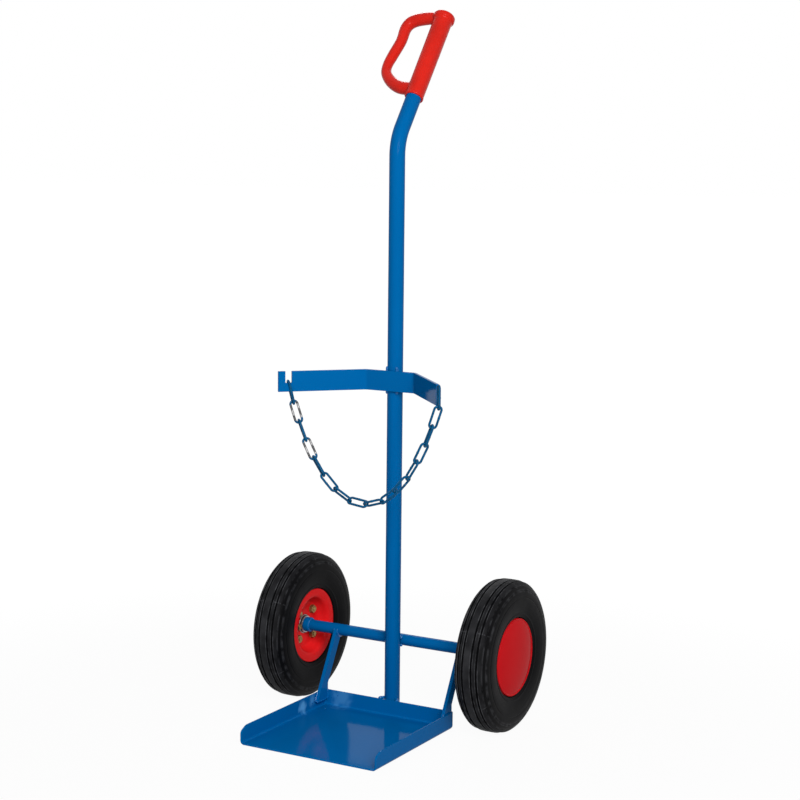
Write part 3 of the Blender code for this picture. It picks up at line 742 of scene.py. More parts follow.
    @staticmethod
    def rounded(corners: Sequence[Triple], closed: bool = True, steps: int = 4) -> list[Point]:
        """Rounds the corners of a section.

        Args:
            corners: Places with the radius of each corner's rounding.
            closed: Whether the section closes on itself.
            steps: The steps of each rounding.

        Returns:
            The section's points.
        """
        points: list[Point] = []
        count = len(corners)
        for index, (along, radius, rounding) in enumerate(corners):
            here = Vector((along, radius))
            if rounding <= 0 or (not closed and index in (0, count - 1)):
                points.append((along, radius))
                continue
            before = Vector(corners[index - 1][:2]) - here
            after = Vector(corners[(index + 1) % count][:2]) - here
            half = before.angle(after) / 2
            reach = min(rounding / math.tan(half), before.length * 0.49, after.length * 0.49)
            start, end = here + before.normalized() * reach, here + after.normalized() * reach
            for step in range(steps + 1):
                share = step / steps
                blend = start * (1 - share) ** 2 + here * 2 * share * (1 - share) + end * share**2
                points.append((blend.x, blend.y))
        return points

    @staticmethod
    def turned(name: str, corners: Sequence[Triple], steps: int, closed: bool = True) -> Piece:
        """Rounds a section's corners and spins it, as rounded and lathe say."""
        return Bench.lathe(name, Bench.rounded(corners, closed), steps, closed)

    @staticmethod
    def ring(ends: Point, radii: Point, roundings: Point) -> list[Triple]:
        """The section of a ring.

        Args:
            ends: Where it starts and ends along the axis.
            radii: Its inner and outer radius.
            roundings: The rounding of its inner and outer edges.

        Returns:
            The section's corners.
        """
        inside, outside = zip(radii, roundings)
        first, last = ends
        return [(first, *inside), (first, *outside), (last, *outside), (last, *inside)]

    @staticmethod
    def wire(name: str, points: Sequence[Sequence[float]], sides: int) -> Piece:
        """A round bar through points, from a bevelled curve.

        Args:
            name: The piece's name.
            points: Places with the bar's radius at each.
            sides: The curve's bevel resolution.

        Returns:
            The bar as a mesh with closed ends.
        """
        curve = bpy.data.curves.new(name, "CURVE")
        curve.dimensions = "3D"
        curve.bevel_depth = 1.0
        curve.bevel_resolution = sides
        curve.use_fill_caps = True
        spline = curve.splines.new("POLY")
        spline.points.add(len(points) - 1)
        for slot, (*place, radius) in zip(spline.points, points):
            slot.co = (*place, 1.0)
            slot.radius = radius
        piece = bpy.data.objects.new(name, curve)
        bpy.context.scene.collection.objects.link(piece)
        Bench.take(piece)
        bpy.ops.object.convert(target="MESH")
        return bpy.context.active_object

    @staticmethod
    def modify(piece: Piece, kind: str, **settings: object) -> None:
        """Adds a modifier and applies it.

        Args:
            piece: The piece.
            kind: The modifier's type.
            settings: Its properties.
        """
        Bench.take(piece)
        modifier = piece.modifiers.new(kind.lower(), kind)
        for name, value in settings.items():
            setattr(modifier, name, value)
        bpy.ops.object.modifier_apply(modifier=modifier.name)

    @staticmethod
    def thicken(piece: Piece, wall: float) -> None:
        """Gives a sheet its thickness, inwards."""
        Bench.modify(piece, "SOLIDIFY", thickness=wall, offset=-1.0, use_even_offset=True)

    @staticmethod
    def fuse(piece: Piece, voxel: float, rounds: int) -> None:
        """Fuses what overlaps in a piece into one skin and smooths it in so many rounds."""
        Bench.modify(piece, "REMESH", mode="VOXEL", voxel_size=voxel, use_smooth_shade=True)
        Bench.modify(piece, "SMOOTH", factor=0.5, iterations=rounds)

    @staticmethod
    def soften(piece: Piece, width: float) -> None:
        """Rounds the sharp edges of a piece by a width."""
        sharp = {"limit_method": "ANGLE", "angle_limit": SHARP_ANGLE}
        Bench.modify(piece, "BEVEL", width=width, segments=2, use_clamp_overlap=True, **sharp)

    @staticmethod
    def cut(piece: Piece, cutter: Piece) -> None:
        """Cuts a solid out of a piece and removes it."""
        Bench.modify(piece, "BOOLEAN", operation="DIFFERENCE", solver="EXACT", object=cutter)
        Bench.remove(cutter)

    @staticmethod
    def remove(piece: Piece) -> None:
        """Removes a piece that has done its work."""
        bpy.data.objects.remove(piece, do_unlink=True)

    @staticmethod
    def joined(name: str, pieces: Sequence[Piece]) -> Piece:
        """Joins pieces into one.

        Args:
            name: The joined piece's name.
            pieces: What is joined.

        Returns:
            The joined piece.
        """
        Bench.take(*pieces)
        if len(pieces) > 1:
            bpy.ops.object.join()
        piece = bpy.context.active_object
        piece.name = name
        return piece

    @staticmethod
    def copied(piece: Piece, name: str) -> Piece:
        """Copies a piece with its mesh.

        Args:
            piece: The piece.
            name: The copy's name.

        Returns:
            The copy.
        """
        Bench.take(piece)
        bpy.ops.object.duplicate(linked=False)
        copy = bpy.context.active_object
        copy.name = name
        return copy

    @staticmethod
    def settle(
        piece: Piece, coat: Coat, body: str, *nodes: str, angle: float = SMOOTH_ANGLE, flat: bool = False
    ) -> None:
        """Smooths, paints and mounts a finished piece.

        Args:
            piece: The piece.
            coat: Its finish.
            body: The body that it rides on.
            nodes: The solids that it stands for.
            angle: Edges flatter than this are smooth.
            flat: Whether the large faces keep their own shading next to the rounded edges.
        """
        Bench.place(piece)
        bpy.ops.object.shade_smooth_by_angle(angle=angle)
        if flat:
            Bench.modify(piece, "WEIGHTED_NORMAL", mode="FACE_AREA", weight=100, keep_sharp=True)
        piece.data.materials.clear()
        piece.data.materials.append(coat.material)
        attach(piece, body)
        if nodes:
            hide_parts(*nodes)
        LOG.info("%s: %d faces on %s", piece.name, len(piece.data.polygons), body)


@dataclass(frozen=True)
class Studio:
    """The camera, the lamps, the white surroundings and the floor."""

    eye: Triple = (1.552858, -2.546788, 0.969663)
    right: Triple = (0.8668240, 0.4985155, 0.0099193)
    up: Triple = (-0.0746424, 0.1100681, 0.9911173)
    ahead: Triple = (-0.4929956, 0.8598647, -0.1326200)
    lens: float = 82.654
    sensor: float = 36.0
    target: Triple = (0.0, 0.05, 0.55)
    # Each lamp's name, place, size and power
    lamps: tuple = (
        ("key_lamp", (2.05, -2.42, 2.05), 1.8, 116.0),
        ("back_lamp", (-1.7, 2.7, 3.0), 1.5, 34.0),
    )
    ambient: float = 0.26
    floor_half: float = 40.0
    floor_drop: float = 0.0004
    floor_grey: Colour = (0.55, 0.55, 0.55, 1.0)
    floor_white: float = 1.02
    # How much of the floor's white hides the shadow, and where that rises to all of it
    floor_glow: float = 0.93
    glow_rise: Point = (0.5, 1.6)

    def build(self) -> None:
        """Sets up everything round the cart."""
        bpy.context.scene.view_settings.view_transform = "Standard"
        self.add_camera()
        for lamp in self.lamps:
            self.add_lamp(*lamp)
        self.add_world()
        self.add_floor()

    def add_camera(self) -> None:
        """Puts the camera where the picture was taken from."""
        data = bpy.data.cameras.new("picture_camera")
        data.lens = self.lens
        data.sensor_width = self.sensor
        camera = bpy.data.objects.new("picture_camera", data)
        camera.matrix_world = axes_matrix((self.right, self.up, -Vector(self.ahead)), self.eye)
        bpy.context.scene.collection.objects.link(camera)
        bpy.context.scene.camera = camera

    def add_lamp(self, name: str, place: Triple, size: float, power: float) -> None:
        """Adds a square lamp that faces the cart.

        Args:
            name: The lamp's name.
            place: Where it hangs.
            size: The length of its sides.
            power: Its power in watts.
        """
        data = bpy.data.lights.new(name, "AREA")
        data.size = size
        data.energy = power
        lamp = bpy.data.objects.new(name, data)
        lamp.location = place
        lamp.visible_camera = False
        lamp.rotation_euler = (Vector(self.target) - Vector(place)).to_track_quat("-Z", "Y").to_euler()
        bpy.context.scene.collection.objects.link(lamp)

    def add_world(self) -> None:
        """White to the camera and in reflections, and plain soft light for everything else."""
        world = bpy.data.worlds.new("white_room")
        world.use_nodes = True
        bpy.context.scene.world = world
        kit = NodeKit(world.node_tree)
        level = self.ambient + (1 - self.ambient) * kit.seen()
        background = kit.add("ShaderNodeBackground", {}, {"Color": WHITE, "Strength": level})
        kit.end("ShaderNodeOutputWorld", background)

    def add_floor(self) -> None:
        """A white floor that keeps a faint shadow."""
        add = bpy.ops.mesh.primitive_plane_add
        place = (0, 0, -self.floor_drop)
        floor = Bench.start("studio_floor", add, size=2 * self.floor_half, location=place)
        paints = Paintbox("studio_white")
        matt = paints.add("ShaderNodeBsdfDiffuse", {}, {"Color": self.floor_grey})
        glow = paints.add("ShaderNodeEmission", {}, {"Color": WHITE, "Strength": self.floor_white})
        fade = length_of(*paints.axes()[:2]).step(*self.glow_rise)
        share = paints.seen() * (self.floor_glow + (1 - self.floor_glow) * fade)
        mixed = paints.add("ShaderNodeMixShader", {}, {0: share, 1: matt, 2: glow})
        floor.data.materials.append(paints.show(mixed))


@dataclass(frozen=True)
class LoadTray:
    """The pressed pan with three upstands."""

    sheet: float = 0.003
    bend: float = 0.0068
    bend_steps: int = 5
    chamfer_length: float = 0.015
    chamfer_height: float = 0.0075
    chamfer_rounding: float = 0.0045
    chamfer_steps: int = 4
    edge: float = 0.0006
    # Places of pale patches of painted reflection round the left brace's welds, each with its reach and
    # strength
    hazed: tuple = (
        (-0.1275, 0.0545, 0.0165, 0.016, 0.75),
        (-0.1275, 0.0850, 0.0200, 0.014, 0.45),
        (-0.0930, 0.1275, 0.0190, 0.028, 0.32),
    )

    def build(self, coat: Coat) -> None:
        """Folds the pan from a box.

        Args:
            coat: The paint.
        """
        low, high = solid_corners("load_tray")
        add = bpy.ops.mesh.primitive_cube_add
        tray = Bench.start("pressed_tray", add, size=1.0, location=(low + high) / 2, scale=high - low)
        with Bench.editing(tray):
            Bench.pick(tray, Element.FACE, lambda middle, normal: normal.z > 0.9 or normal.y < -0.9)
            bpy.ops.mesh.delete(type="FACE")
            Bench.pick(tray, Element.EDGE, lambda *ends: self.is_bend(*ends, low, high))
            bpy.ops.mesh.bevel(offset=self.bend, segments=self.bend_steps, affect="EDGES")
        Bench.tidy(tray)
        Bench.thicken(tray, self.sheet)
        with Bench.editing(tray):
            bpy.ops.mesh.bisect(
                plane_co=(0.0, low.y + self.chamfer_length, high.z),
                plane_no=(0.0, -self.chamfer_height, self.chamfer_length),
                clear_outer=True,
                use_fill=True,
            )
            bpy.ops.mesh.select_all(action="SELECT")
            bpy.ops.mesh.remove_doubles(threshold=MERGE)
            Bench.pick(tray, Element.EDGE, lambda *ends: self.is_chamfer_end(*ends, low, high))
            bpy.ops.mesh.bevel(offset=self.chamfer_rounding, segments=self.chamfer_steps, affect="EDGES")
        Bench.tidy(tray)
        Bench.soften(tray, self.edge)
        Bench.settle(tray, coat, FRAME_BODY, "load_tray", flat=True)

    @staticmethod
    def is_bend(first: Vector, second: Vector, low: Vector, high: Vector) -> bool:
        """Whether an edge is one of the folds: under an upstand, or upright at the back.

        Args:
            first: One end.
            second: The other end.
            low: The pan's lowest corner.
            high: The pan's highest corner.

        Returns:
            True for a fold.
        """
        middle = (first + second) / 2
        on_floor = abs(middle.z - low.z) < MERGE and middle.y > low.y + MERGE
        upright = abs(first.z - second.z) > (high.z - low.z) / 2 and middle.y > high.y - MERGE
        return on_floor or upright

    def is_chamfer_end(self, first: Vector, second: Vector, low: Vector, high: Vector) -> bool:
        """Whether an edge runs across an upstand at an end of its cut corner.

        Args:
            first: One end.
            second: The other end.
            low: The pan's lowest corner.
            high: The pan's highest corner.

        Returns:
            True for such an edge.
        """
        middle = (first + second) / 2
        upper = math.hypot(middle.y - low.y - self.chamfer_length, middle.z - high.z)
        lower = math.hypot(middle.y - low.y, middle.z - high.z + self.chamfer_height)
        return min(upper, lower) < 100 * MERGE and abs(first.x - second.x) > self.sheet / 2


@dataclass(frozen=True)
class Mast:
    """The bent tube."""

    radius: float = 0.01345
    wall: float = 0.0026
    y: float = 0.14425
    foot: float = 0.004
    bend_height: float = 0.993
    bend_angle: float = math.radians(36.75)
    bend_radius: float = 0.080
    upper: float = 0.260
    sides: int = 64
    bend_steps: int = 16
    edge: float = 0.0005

    @property
    def direction(self) -> Vector:
        """The direction of the bent upper end."""
        return Vector((0, math.sin(self.bend_angle), math.cos(self.bend_angle)))

    @property
    def corner(self) -> Vector:
        """Where the axes of the two straight runs cross."""
        return Vector((0, self.y, self.bend_height))

    def build(self, coat: Coat) -> None:
        """Extrudes and bends the tube from a ring.

        Args:
            coat: The paint.
        """
        tangent = self.bend_radius * math.tan(self.bend_angle / 2)
        add = bpy.ops.mesh.primitive_circle_add
        ring = {"vertices": self.sides, "radius": self.radius, "fill_type": "NOTHING"}
        tube = Bench.start("bent_mast", add, location=(0, self.y, self.foot), **ring)
        with Bench.editing(tube):
            Bench.push((0, 0, self.bend_height - tangent - self.foot))
            bpy.ops.mesh.spin(
                steps=self.bend_steps,
                angle=self.bend_angle,
                center=(0, self.y + self.bend_radius, self.bend_height - tangent),
                axis=(1, 0, 0),
            )
            Bench.push(self.direction * (self.upper - tangent))
        Bench.tidy(tube)
        Bench.thicken(tube, self.wall)
        Bench.soften(tube, self.edge)
        Bench.settle(tube, coat, FRAME_BODY, "mast_tube")


@dataclass(frozen=True)
class HandGrip:
    """The moulded grip: a sleeve with a coned cap and a guard that loops to the left."""

    mast: Mast
    voxel: float = 0.0009
    smoothing: int = 5
    smooth_angle: float = math.radians(50)
    bore: float = 0.01375
    bore_end: float = 0.2603
    sleeve_steps: int = 64
    guard_steps: int = 6
    guard_sides: int = 6
    # Places along the bent tube from its corner with the sleeve's radius and the corner's rounding
    sleeve: tuple = (
        (0.0890, 0.0000, 0.0),
        (0.0890, 0.0166, 0.0012),
        (0.0930, 0.0166, 0.0006),
        (0.0936, 0.0160, 0.0006),
        (0.2555, 0.0165, 0.0015),
        (0.2580, 0.0193, 0.0010),
        (0.2660, 0.0193, 0.0014),
        (0.2745, 0.0070, 0.0016),
        (0.2760, 0.0040, 0.0010),
        (0.2760, 0.0000, 0.0),
    )
    # The guard's middle line: along the tube, out from it and the bar's radius
    guard: tuple = (
        (0.2630, 0.0080, 0.0105),
        (0.2635, 0.0335, 0.0112),
        (0.2580, 0.0585, 0.0112),
        (0.2430, 0.0685, 0.0104),
        (0.2140, 0.0680, 0.0097),
        (0.1830, 0.0735, 0.0096),
        (0.1600, 0.0765, 0.0088),
        (0.1420, 0.0720, 0.0092),
        (0.1235, 0.0550, 0.0104),
        (0.1115, 0.0330, 0.0112),
        (0.1095, 0.0080, 0.0112),
    )

    @property
    def frame(self) -> Matrix:
        """The grip's own axes: X along the tube, Y out to the guard."""
        along, reach = self.mast.direction, Vector((-1, 0, 0))
        return axes_matrix((along, reach, along.cross(reach)), self.mast.corner)

    def guard_line(self) -> list[tuple[float, float, float, float]]:
        """Draws a smooth line through the guard's places.

        Returns:
            Its points, with the bar's radius at each.
        """
        places = [Vector(place) for place in self.guard]
        line = []
        for index in range(len(places) - 1):
            before, start = places[max(index - 1, 0)], places[index]
            end, after = places[index + 1], places[min(index + 2, len(places) - 1)]
            for step in range(self.guard_steps):
                share = step / self.guard_steps
                point = start * 2 + (end - before) * share
                point += (before * 2 - start * 5 + end * 4 - after) * share**2
                point += (start * 3 - before - end * 3 + after) * share**3
                line.append(point / 2)
        line.append(places[-1])
        return [(point.x, point.y, 0.0, point.z) for point in line]

    def build(self, coat: Coat) -> None:
        """Moulds the grip from a turned sleeve and a bent bar.

        Args:
            coat: The plastic.
        """
        sleeve = Bench.turned("grip_sleeve", self.sleeve, self.sleeve_steps, closed=False)
        guard = Bench.wire("grip_guard", self.guard_line(), self.guard_sides)
        grip = Bench.joined("moulded_grip", [sleeve, guard])
        Bench.fuse(grip, self.voxel, self.smoothing)
        middle = (self.bore_end / 2, 0, 0)
        Bench.cut(grip, Bench.rod("grip_bore", self.sleeve_steps, self.bore, self.bore_end, middle))
        Bench.place(grip, self.frame)
        Bench.settle(grip, coat, FRAME_BODY, "d_grip", angle=self.smooth_angle)


@dataclass(frozen=True)
class AxleSet:
    """The axle and the collars and washers on it."""

    bore: float = 0.0103
    bore_edge: float = 0.0002
    axle_edge: float = 0.0012
    collar_edge: float = 0.0010
    washer_edge: float = 0.0004
    pin_hole: float = 0.0018
    pin_sides: int = 24
    steps: int = 48

    def build(self, blue: Coat, steel: Coat) -> None:
        """Turns the axle, its collars and the washers that can be seen.

        Args:
            blue: The frame's paint.
            steel: The washers' plating.
        """
        self.turn_axle(blue)
        for side in Side:
            self.turn_ring(f"{side.word}_collar", f"{side.word}_axle_collar", self.collar_edge, blue)
            self.turn_ring(f"{side.word}_washer", f"{side.word}_inner_washer", self.washer_edge, steel)

    def turn_axle(self, coat: Coat) -> None:
        """Turns the axle with rounded ends and drills it for its pins.

        Args:
            coat: The paint.
        """
        low, high = solid_corners("axle_bar")
        centre, half, radius = (low + high) / 2, (high.x - low.x) / 2, (high.z - low.z) / 2
        section = Bench.ring((-half, half), (0, radius), (0, self.axle_edge))
        axle = Bench.turned("axle", section, self.steps, closed=False)
        Bench.place(axle, Matrix.Translation(centre))
        add = bpy.ops.mesh.primitive_cylinder_add
        hole = {"vertices": self.pin_sides, "radius": self.pin_hole, "depth": 4 * radius}
        for side in Side:
            pin_low, pin_high = solid_corners(f"{side.word}_cotter_pin")
            place = ((pin_low.x + pin_high.x) / 2, centre.y, centre.z)
            Bench.cut(axle, Bench.start("pin_hole", add, location=place, **hole))
        Bench.settle(axle, coat, FRAME_BODY, "axle_bar")

    def turn_ring(self, name: str, node: str, rounding: float, coat: Coat) -> None:
        """Turns a collar or a washer in the place of its solid.

        Args:
            name: The piece's name.
            node: The solid.
            rounding: The rounding of its edges.
            coat: Its finish.
        """
        low, high = solid_corners(node)
        half, radius = (high.x - low.x) / 2, (high.z - low.z) / 2
        section = Bench.ring((-half, half), (self.bore, radius), (self.bore_edge, rounding))
        ring = Bench.turned(name, section, self.steps)
        Bench.place(ring, Matrix.Translation((low + high) / 2))
        Bench.settle(ring, coat, FRAME_BODY, node)


@dataclass(frozen=True)
class Braces:
    """The flat bars from the pan's back corners to the axle."""

    outline: tuple = ((0.0937, 0.016), (0.1272, 0.016), (0.1272, 0.0425), (0.172, 0.125), (0.156, 0.1325))
    axle: Point = (0.168, 0.130)
    seat: float = 0.0103
    seat_length: float = 0.060
    seat_sides: int = 64
    edge: float = 0.0007

    def build(self, coat: Coat) -> None:
        """Cuts both braces out of flat bar.

        Args:
            coat: The paint.
        """
        for side in Side:
            node = f"{side.word}_brace"
            low, high = solid_corners(node)
            points = [(low.x, along, up) for along, up in self.outline]
            brace = Bench.draw(f"{side.word}_flat_brace", points, closed=True)
            with Bench.editing(brace):
                bpy.ops.mesh.edge_face_add()
                Bench.push((high.x - low.x, 0, 0))
            Bench.tidy(brace)
            middle = ((low.x + high.x) / 2, *self.axle)
            Bench.cut(brace, Bench.rod("brace_seat", self.seat_sides, self.seat, self.seat_length, middle))
            Bench.soften(brace, self.edge)
            Bench.settle(brace, coat, FRAME_BODY, node, flat=True)


@dataclass(frozen=True)
class Cradle:
    """The bent flat bar that holds the cylinder, with an open slot for the chain."""

    mast: Mast
    sheet: float = 0.005
    height: float = 0.035
    centre_height: float = 0.588
    middle_width: float = 0.0955
    arm: float = 0.1545
    angle: float = math.radians(47.0)
    bend: float = 0.010
    bend_steps: int = 10
    slot_from_end: float = 0.018
    slot_width: float = 0.0112
    slot_depth: float = 0.020
    slot_rounding: float = 0.0015
    slot_steps: int = 4
    weld_gap: float = 0.0003
    edge: float = 0.0007

    def arm_direction(self, side: Side) -> Vector:
        """The direction of an arm, outwards and to the front."""
        return Vector((side.value * math.cos(self.angle), -math.sin(self.angle), 0))

    def corner(self, side: Side) -> Vector:
        """Where the middle lines of the middle and of an arm cross."""
        back = self.mast.y - self.mast.radius - self.weld_gap - self.sheet / 2
        return Vector((side.value * self.middle_width / 2, back, self.centre_height))

    def arm_end(self, side: Side) -> Vector:
        """The middle of an arm's end face."""
        return self.corner(side) + self.arm_direction(side) * self.arm

    def slot_bottom(self) -> Vector:
        """Finds where the chain's end link lies.

        Returns:
            The middle of the slot's bottom.
        """
        place = self.arm_end(Side.LEFT) - self.arm_direction(Side.LEFT) * self.slot_from_end
        place.z = self.centre_height + self.height / 2 - self.slot_depth
        return place

    def build(self, coat: Coat) -> None:
        """Bends the bar from the right arm's end to the left arm's end and cuts the slot.

        Args:
            coat: The paint.
        """
        tangent = self.bend * math.tan(self.angle / 2)
        inward = -self.arm_direction(Side.RIGHT)
        bar = Bench.start("bent_cradle", bpy.ops.mesh.primitive_plane_add, size=1.0)
        across = Vector((0, 0, 1)).cross(inward)
        axes = (across * self.sheet, (0, 0, self.height), inward)
        Bench.place(bar, axes_matrix(axes, self.arm_end(Side.RIGHT)))
        with Bench.editing(bar, Element.FACE):
            Bench.push(inward * (self.arm - tangent))
            self.turn(Side.RIGHT, tangent)
            Bench.push((2 * tangent - self.middle_width, 0, 0))
            self.turn(Side.LEFT, tangent)
            Bench.push(self.arm_direction(Side.LEFT) * (self.arm - tangent))
        Bench.tidy(bar)
        Bench.cut(bar, self.slot_cutter())
        Bench.soften(bar, self.edge)
        Bench.settle(bar, coat, FRAME_BODY, "holder_bracket", flat=True)

    def turn(self, side: Side, tangent: float) -> None:
        """Bends the selected end round a side's corner, from a tangent's length before it."""
        centre = self.corner(side) + Vector((-side.value * tangent, -self.bend, 0))
        bpy.ops.mesh.spin(steps=self.bend_steps, angle=-self.angle, center=centre, axis=(0, 0, 1))

    def slot_cutter(self) -> Piece:
        """Shapes what the slot is cut with.

        Returns:
            A block with a rounded lower end, in the place of the slot.
        """
        along = self.arm_direction(Side.LEFT)
        bottom = self.slot_bottom()
        tall = 2 * self.slot_depth
        cutter = Bench.start(
            "slot_cutter",
            bpy.ops.mesh.primitive_cube_add,
            size=1.0,
            location=bottom + Vector((0, 0, tall / 2)),
            rotation=(0, 0, math.atan2(along.y, along.x)),
            scale=(self.slot_width, 4 * self.sheet, tall),
        )

        def is_lower_edge(first: Vector, second: Vector) -> bool:
            """Whether an edge runs through the bar along the slot's bottom."""
            through = abs((second - first).dot(along)) < MERGE
            return through and max(first.z, second.z) < bottom.z + MERGE

        with Bench.editing(cutter):
            Bench.pick(cutter, Element.EDGE, is_lower_edge)
            bpy.ops.mesh.bevel(offset=self.slot_rounding, segments=self.slot_steps, affect="EDGES")
        return cutter


@dataclass(frozen=True)
class Chain:
    """The welded links that hang from the right arm to the slot in the left one."""

    cradle: Cradle
    wire: float = 0.004
    width: float = 0.016
    gap: float = 0.0008
    pitch: float = 0.0336
    end_inner: float = 0.0368
    end_seat: float = 0.0012
    twist: float = math.radians(-90.0)
    bow_steps: int = 32
    wire_steps: int = 14
    # Where a link's side is cut for its weld, how far the weld reaches and how much thicker it is
    weld_cuts: tuple = (-0.0016, -0.0008, 0.0, 0.0008, 0.0016)
    weld_reach: float = 0.0009
    weld_swell: float = 1.12
    colour: Colour = (0.004, 0.100, 0.240, 1.0)
    rubbed: tuple = (12, 14)

    def link(self, name: str, inner: float) -> Piece:
        """Stretches a ring of wire into a link along X, with a weld in one side.

        Args:
            name: The piece's name.
            inner: The link's inner length.

        Returns:
            The link, with its start half a gap past the origin.
        """
        radius = (self.width - self.wire) / 2
        half = (inner + self.wire - 2 * radius) / 2
        link = Bench.start(
            name,
            bpy.ops.mesh.primitive_torus_add,
            major_radius=radius,
            minor_radius=self.wire / 2,
            major_segments=self.bow_steps,
            minor_segments=self.wire_steps,
            rotation=(0, 0, math.pi / self.bow_steps),
        )
        with Bench.editing(link):
            for end in (1, -1):
                Bench.pick(link, Element.POINT, lambda place: place.x * end > 0)
                bpy.ops.transform.translate(value=(end * half, 0, 0))
            for place in self.weld_cuts:
                bpy.ops.mesh.select_all(action="SELECT")
                bpy.ops.mesh.bisect(plane_co=(place, 0, 0), plane_no=(1, 0, 0))
            Bench.pick(link, Element.POINT, lambda place: abs(place.x) < self.weld_reach and place.y > 0)
            swell = (1.0, self.weld_swell, self.weld_swell)
            bpy.ops.transform.resize(value=swell, center_override=(0, radius, 0))
            bpy.ops.mesh.select_all(action="SELECT")
            bpy.ops.transform.translate(value=((inner - self.gap) / 2, 0, 0))
        Bench.tidy(link)
        return link

    @staticmethod
    def frame(start: Vector, end: Vector, face: Vector) -> Matrix:
        """A link's matrix.

        Args:
            start: Where it hangs.
            end: Where the next one hangs.
            face: The direction that its Z is nearest to.

        Returns:
            The matrix, with X from start to end.
        """
        along = (end - start).normalized()
        normal = (face - along * face.dot(along)).normalized()
        return axes_matrix((along, normal.cross(along), normal), start)

    def build(self, joints: list[dict]) -> None:
        """Hangs every link.

        Args:
            joints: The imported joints.
        """
        paint = ChainPaint("chain_paint", self.colour).make()
        swings = [joint for joint in joints if "swing" in joint["name"]]
        swings.sort(key=lambda joint: joint["name"])
        places = [Vector(joint["pos_m"]) for joint in swings]
        last = Vector(swings[-1]["axis"]).normalized()
        last = last if last.dot(places[-1] - places[-2]) > 0 else -last
        places.append(places[-1] + last * self.pitch)
        face = self.cradle.arm_direction(Side.RIGHT)
        model = self.link("chain_link", self.pitch + self.gap)
        for index, (start, end) in enumerate(zip(places, places[1:])):
            share = index / (len(swings) - 1)
            roll = index * math.pi / 2 + self.twist * (1 - math.cos(math.pi * share)) / 2
            number = f"link_{index + 1:02d}"
            link = Bench.copied(model, f"welded_{number}")
            Bench.place(link, self.frame(start, end, face) @ Matrix.Rotation(roll, 4, "X"))
            node = f"chain_{number}"
            coat = paint
            if index + 1 in self.rubbed:
                middle = tuple((start + end) / 2)
                coat = ChainPaint(f"{node}_paint", self.colour, middle, bare=True).make()
            Bench.settle(link, coat, f"{node}_body", node)
        self.build_ends(model, places, paint)

    def build_ends(self, model: Piece, places: list[Vector], paint: Coat) -> None:
        """Fits the link that is welded to the right arm and the one in the slot.

        Args:
            model: The plain link, which becomes the first of the two.
            places: Where the links hang.
            paint: The paint of both.
        """
        across = self.cradle.arm_direction(Side.RIGHT)
        top = places[0] + Vector((0, 0, self.pitch))
        Bench.place(model, self.frame(top, places[0], Vector((0, 0, -1)).cross(across)))
        model.name = "anchor_link"
        Bench.settle(model, paint, FRAME_BODY, "chain_anchor_link")
        end_link = self.link("slot_link", self.end_inner)
        start = self.cradle.slot_bottom() + Vector((0, 0, self.end_seat))
        Bench.place(end_link, self.frame(start, places[-1], self.cradle.arm_direction(Side.LEFT)))
        Bench.settle(end_link, paint, FRAME_BODY, "chain_end_link")


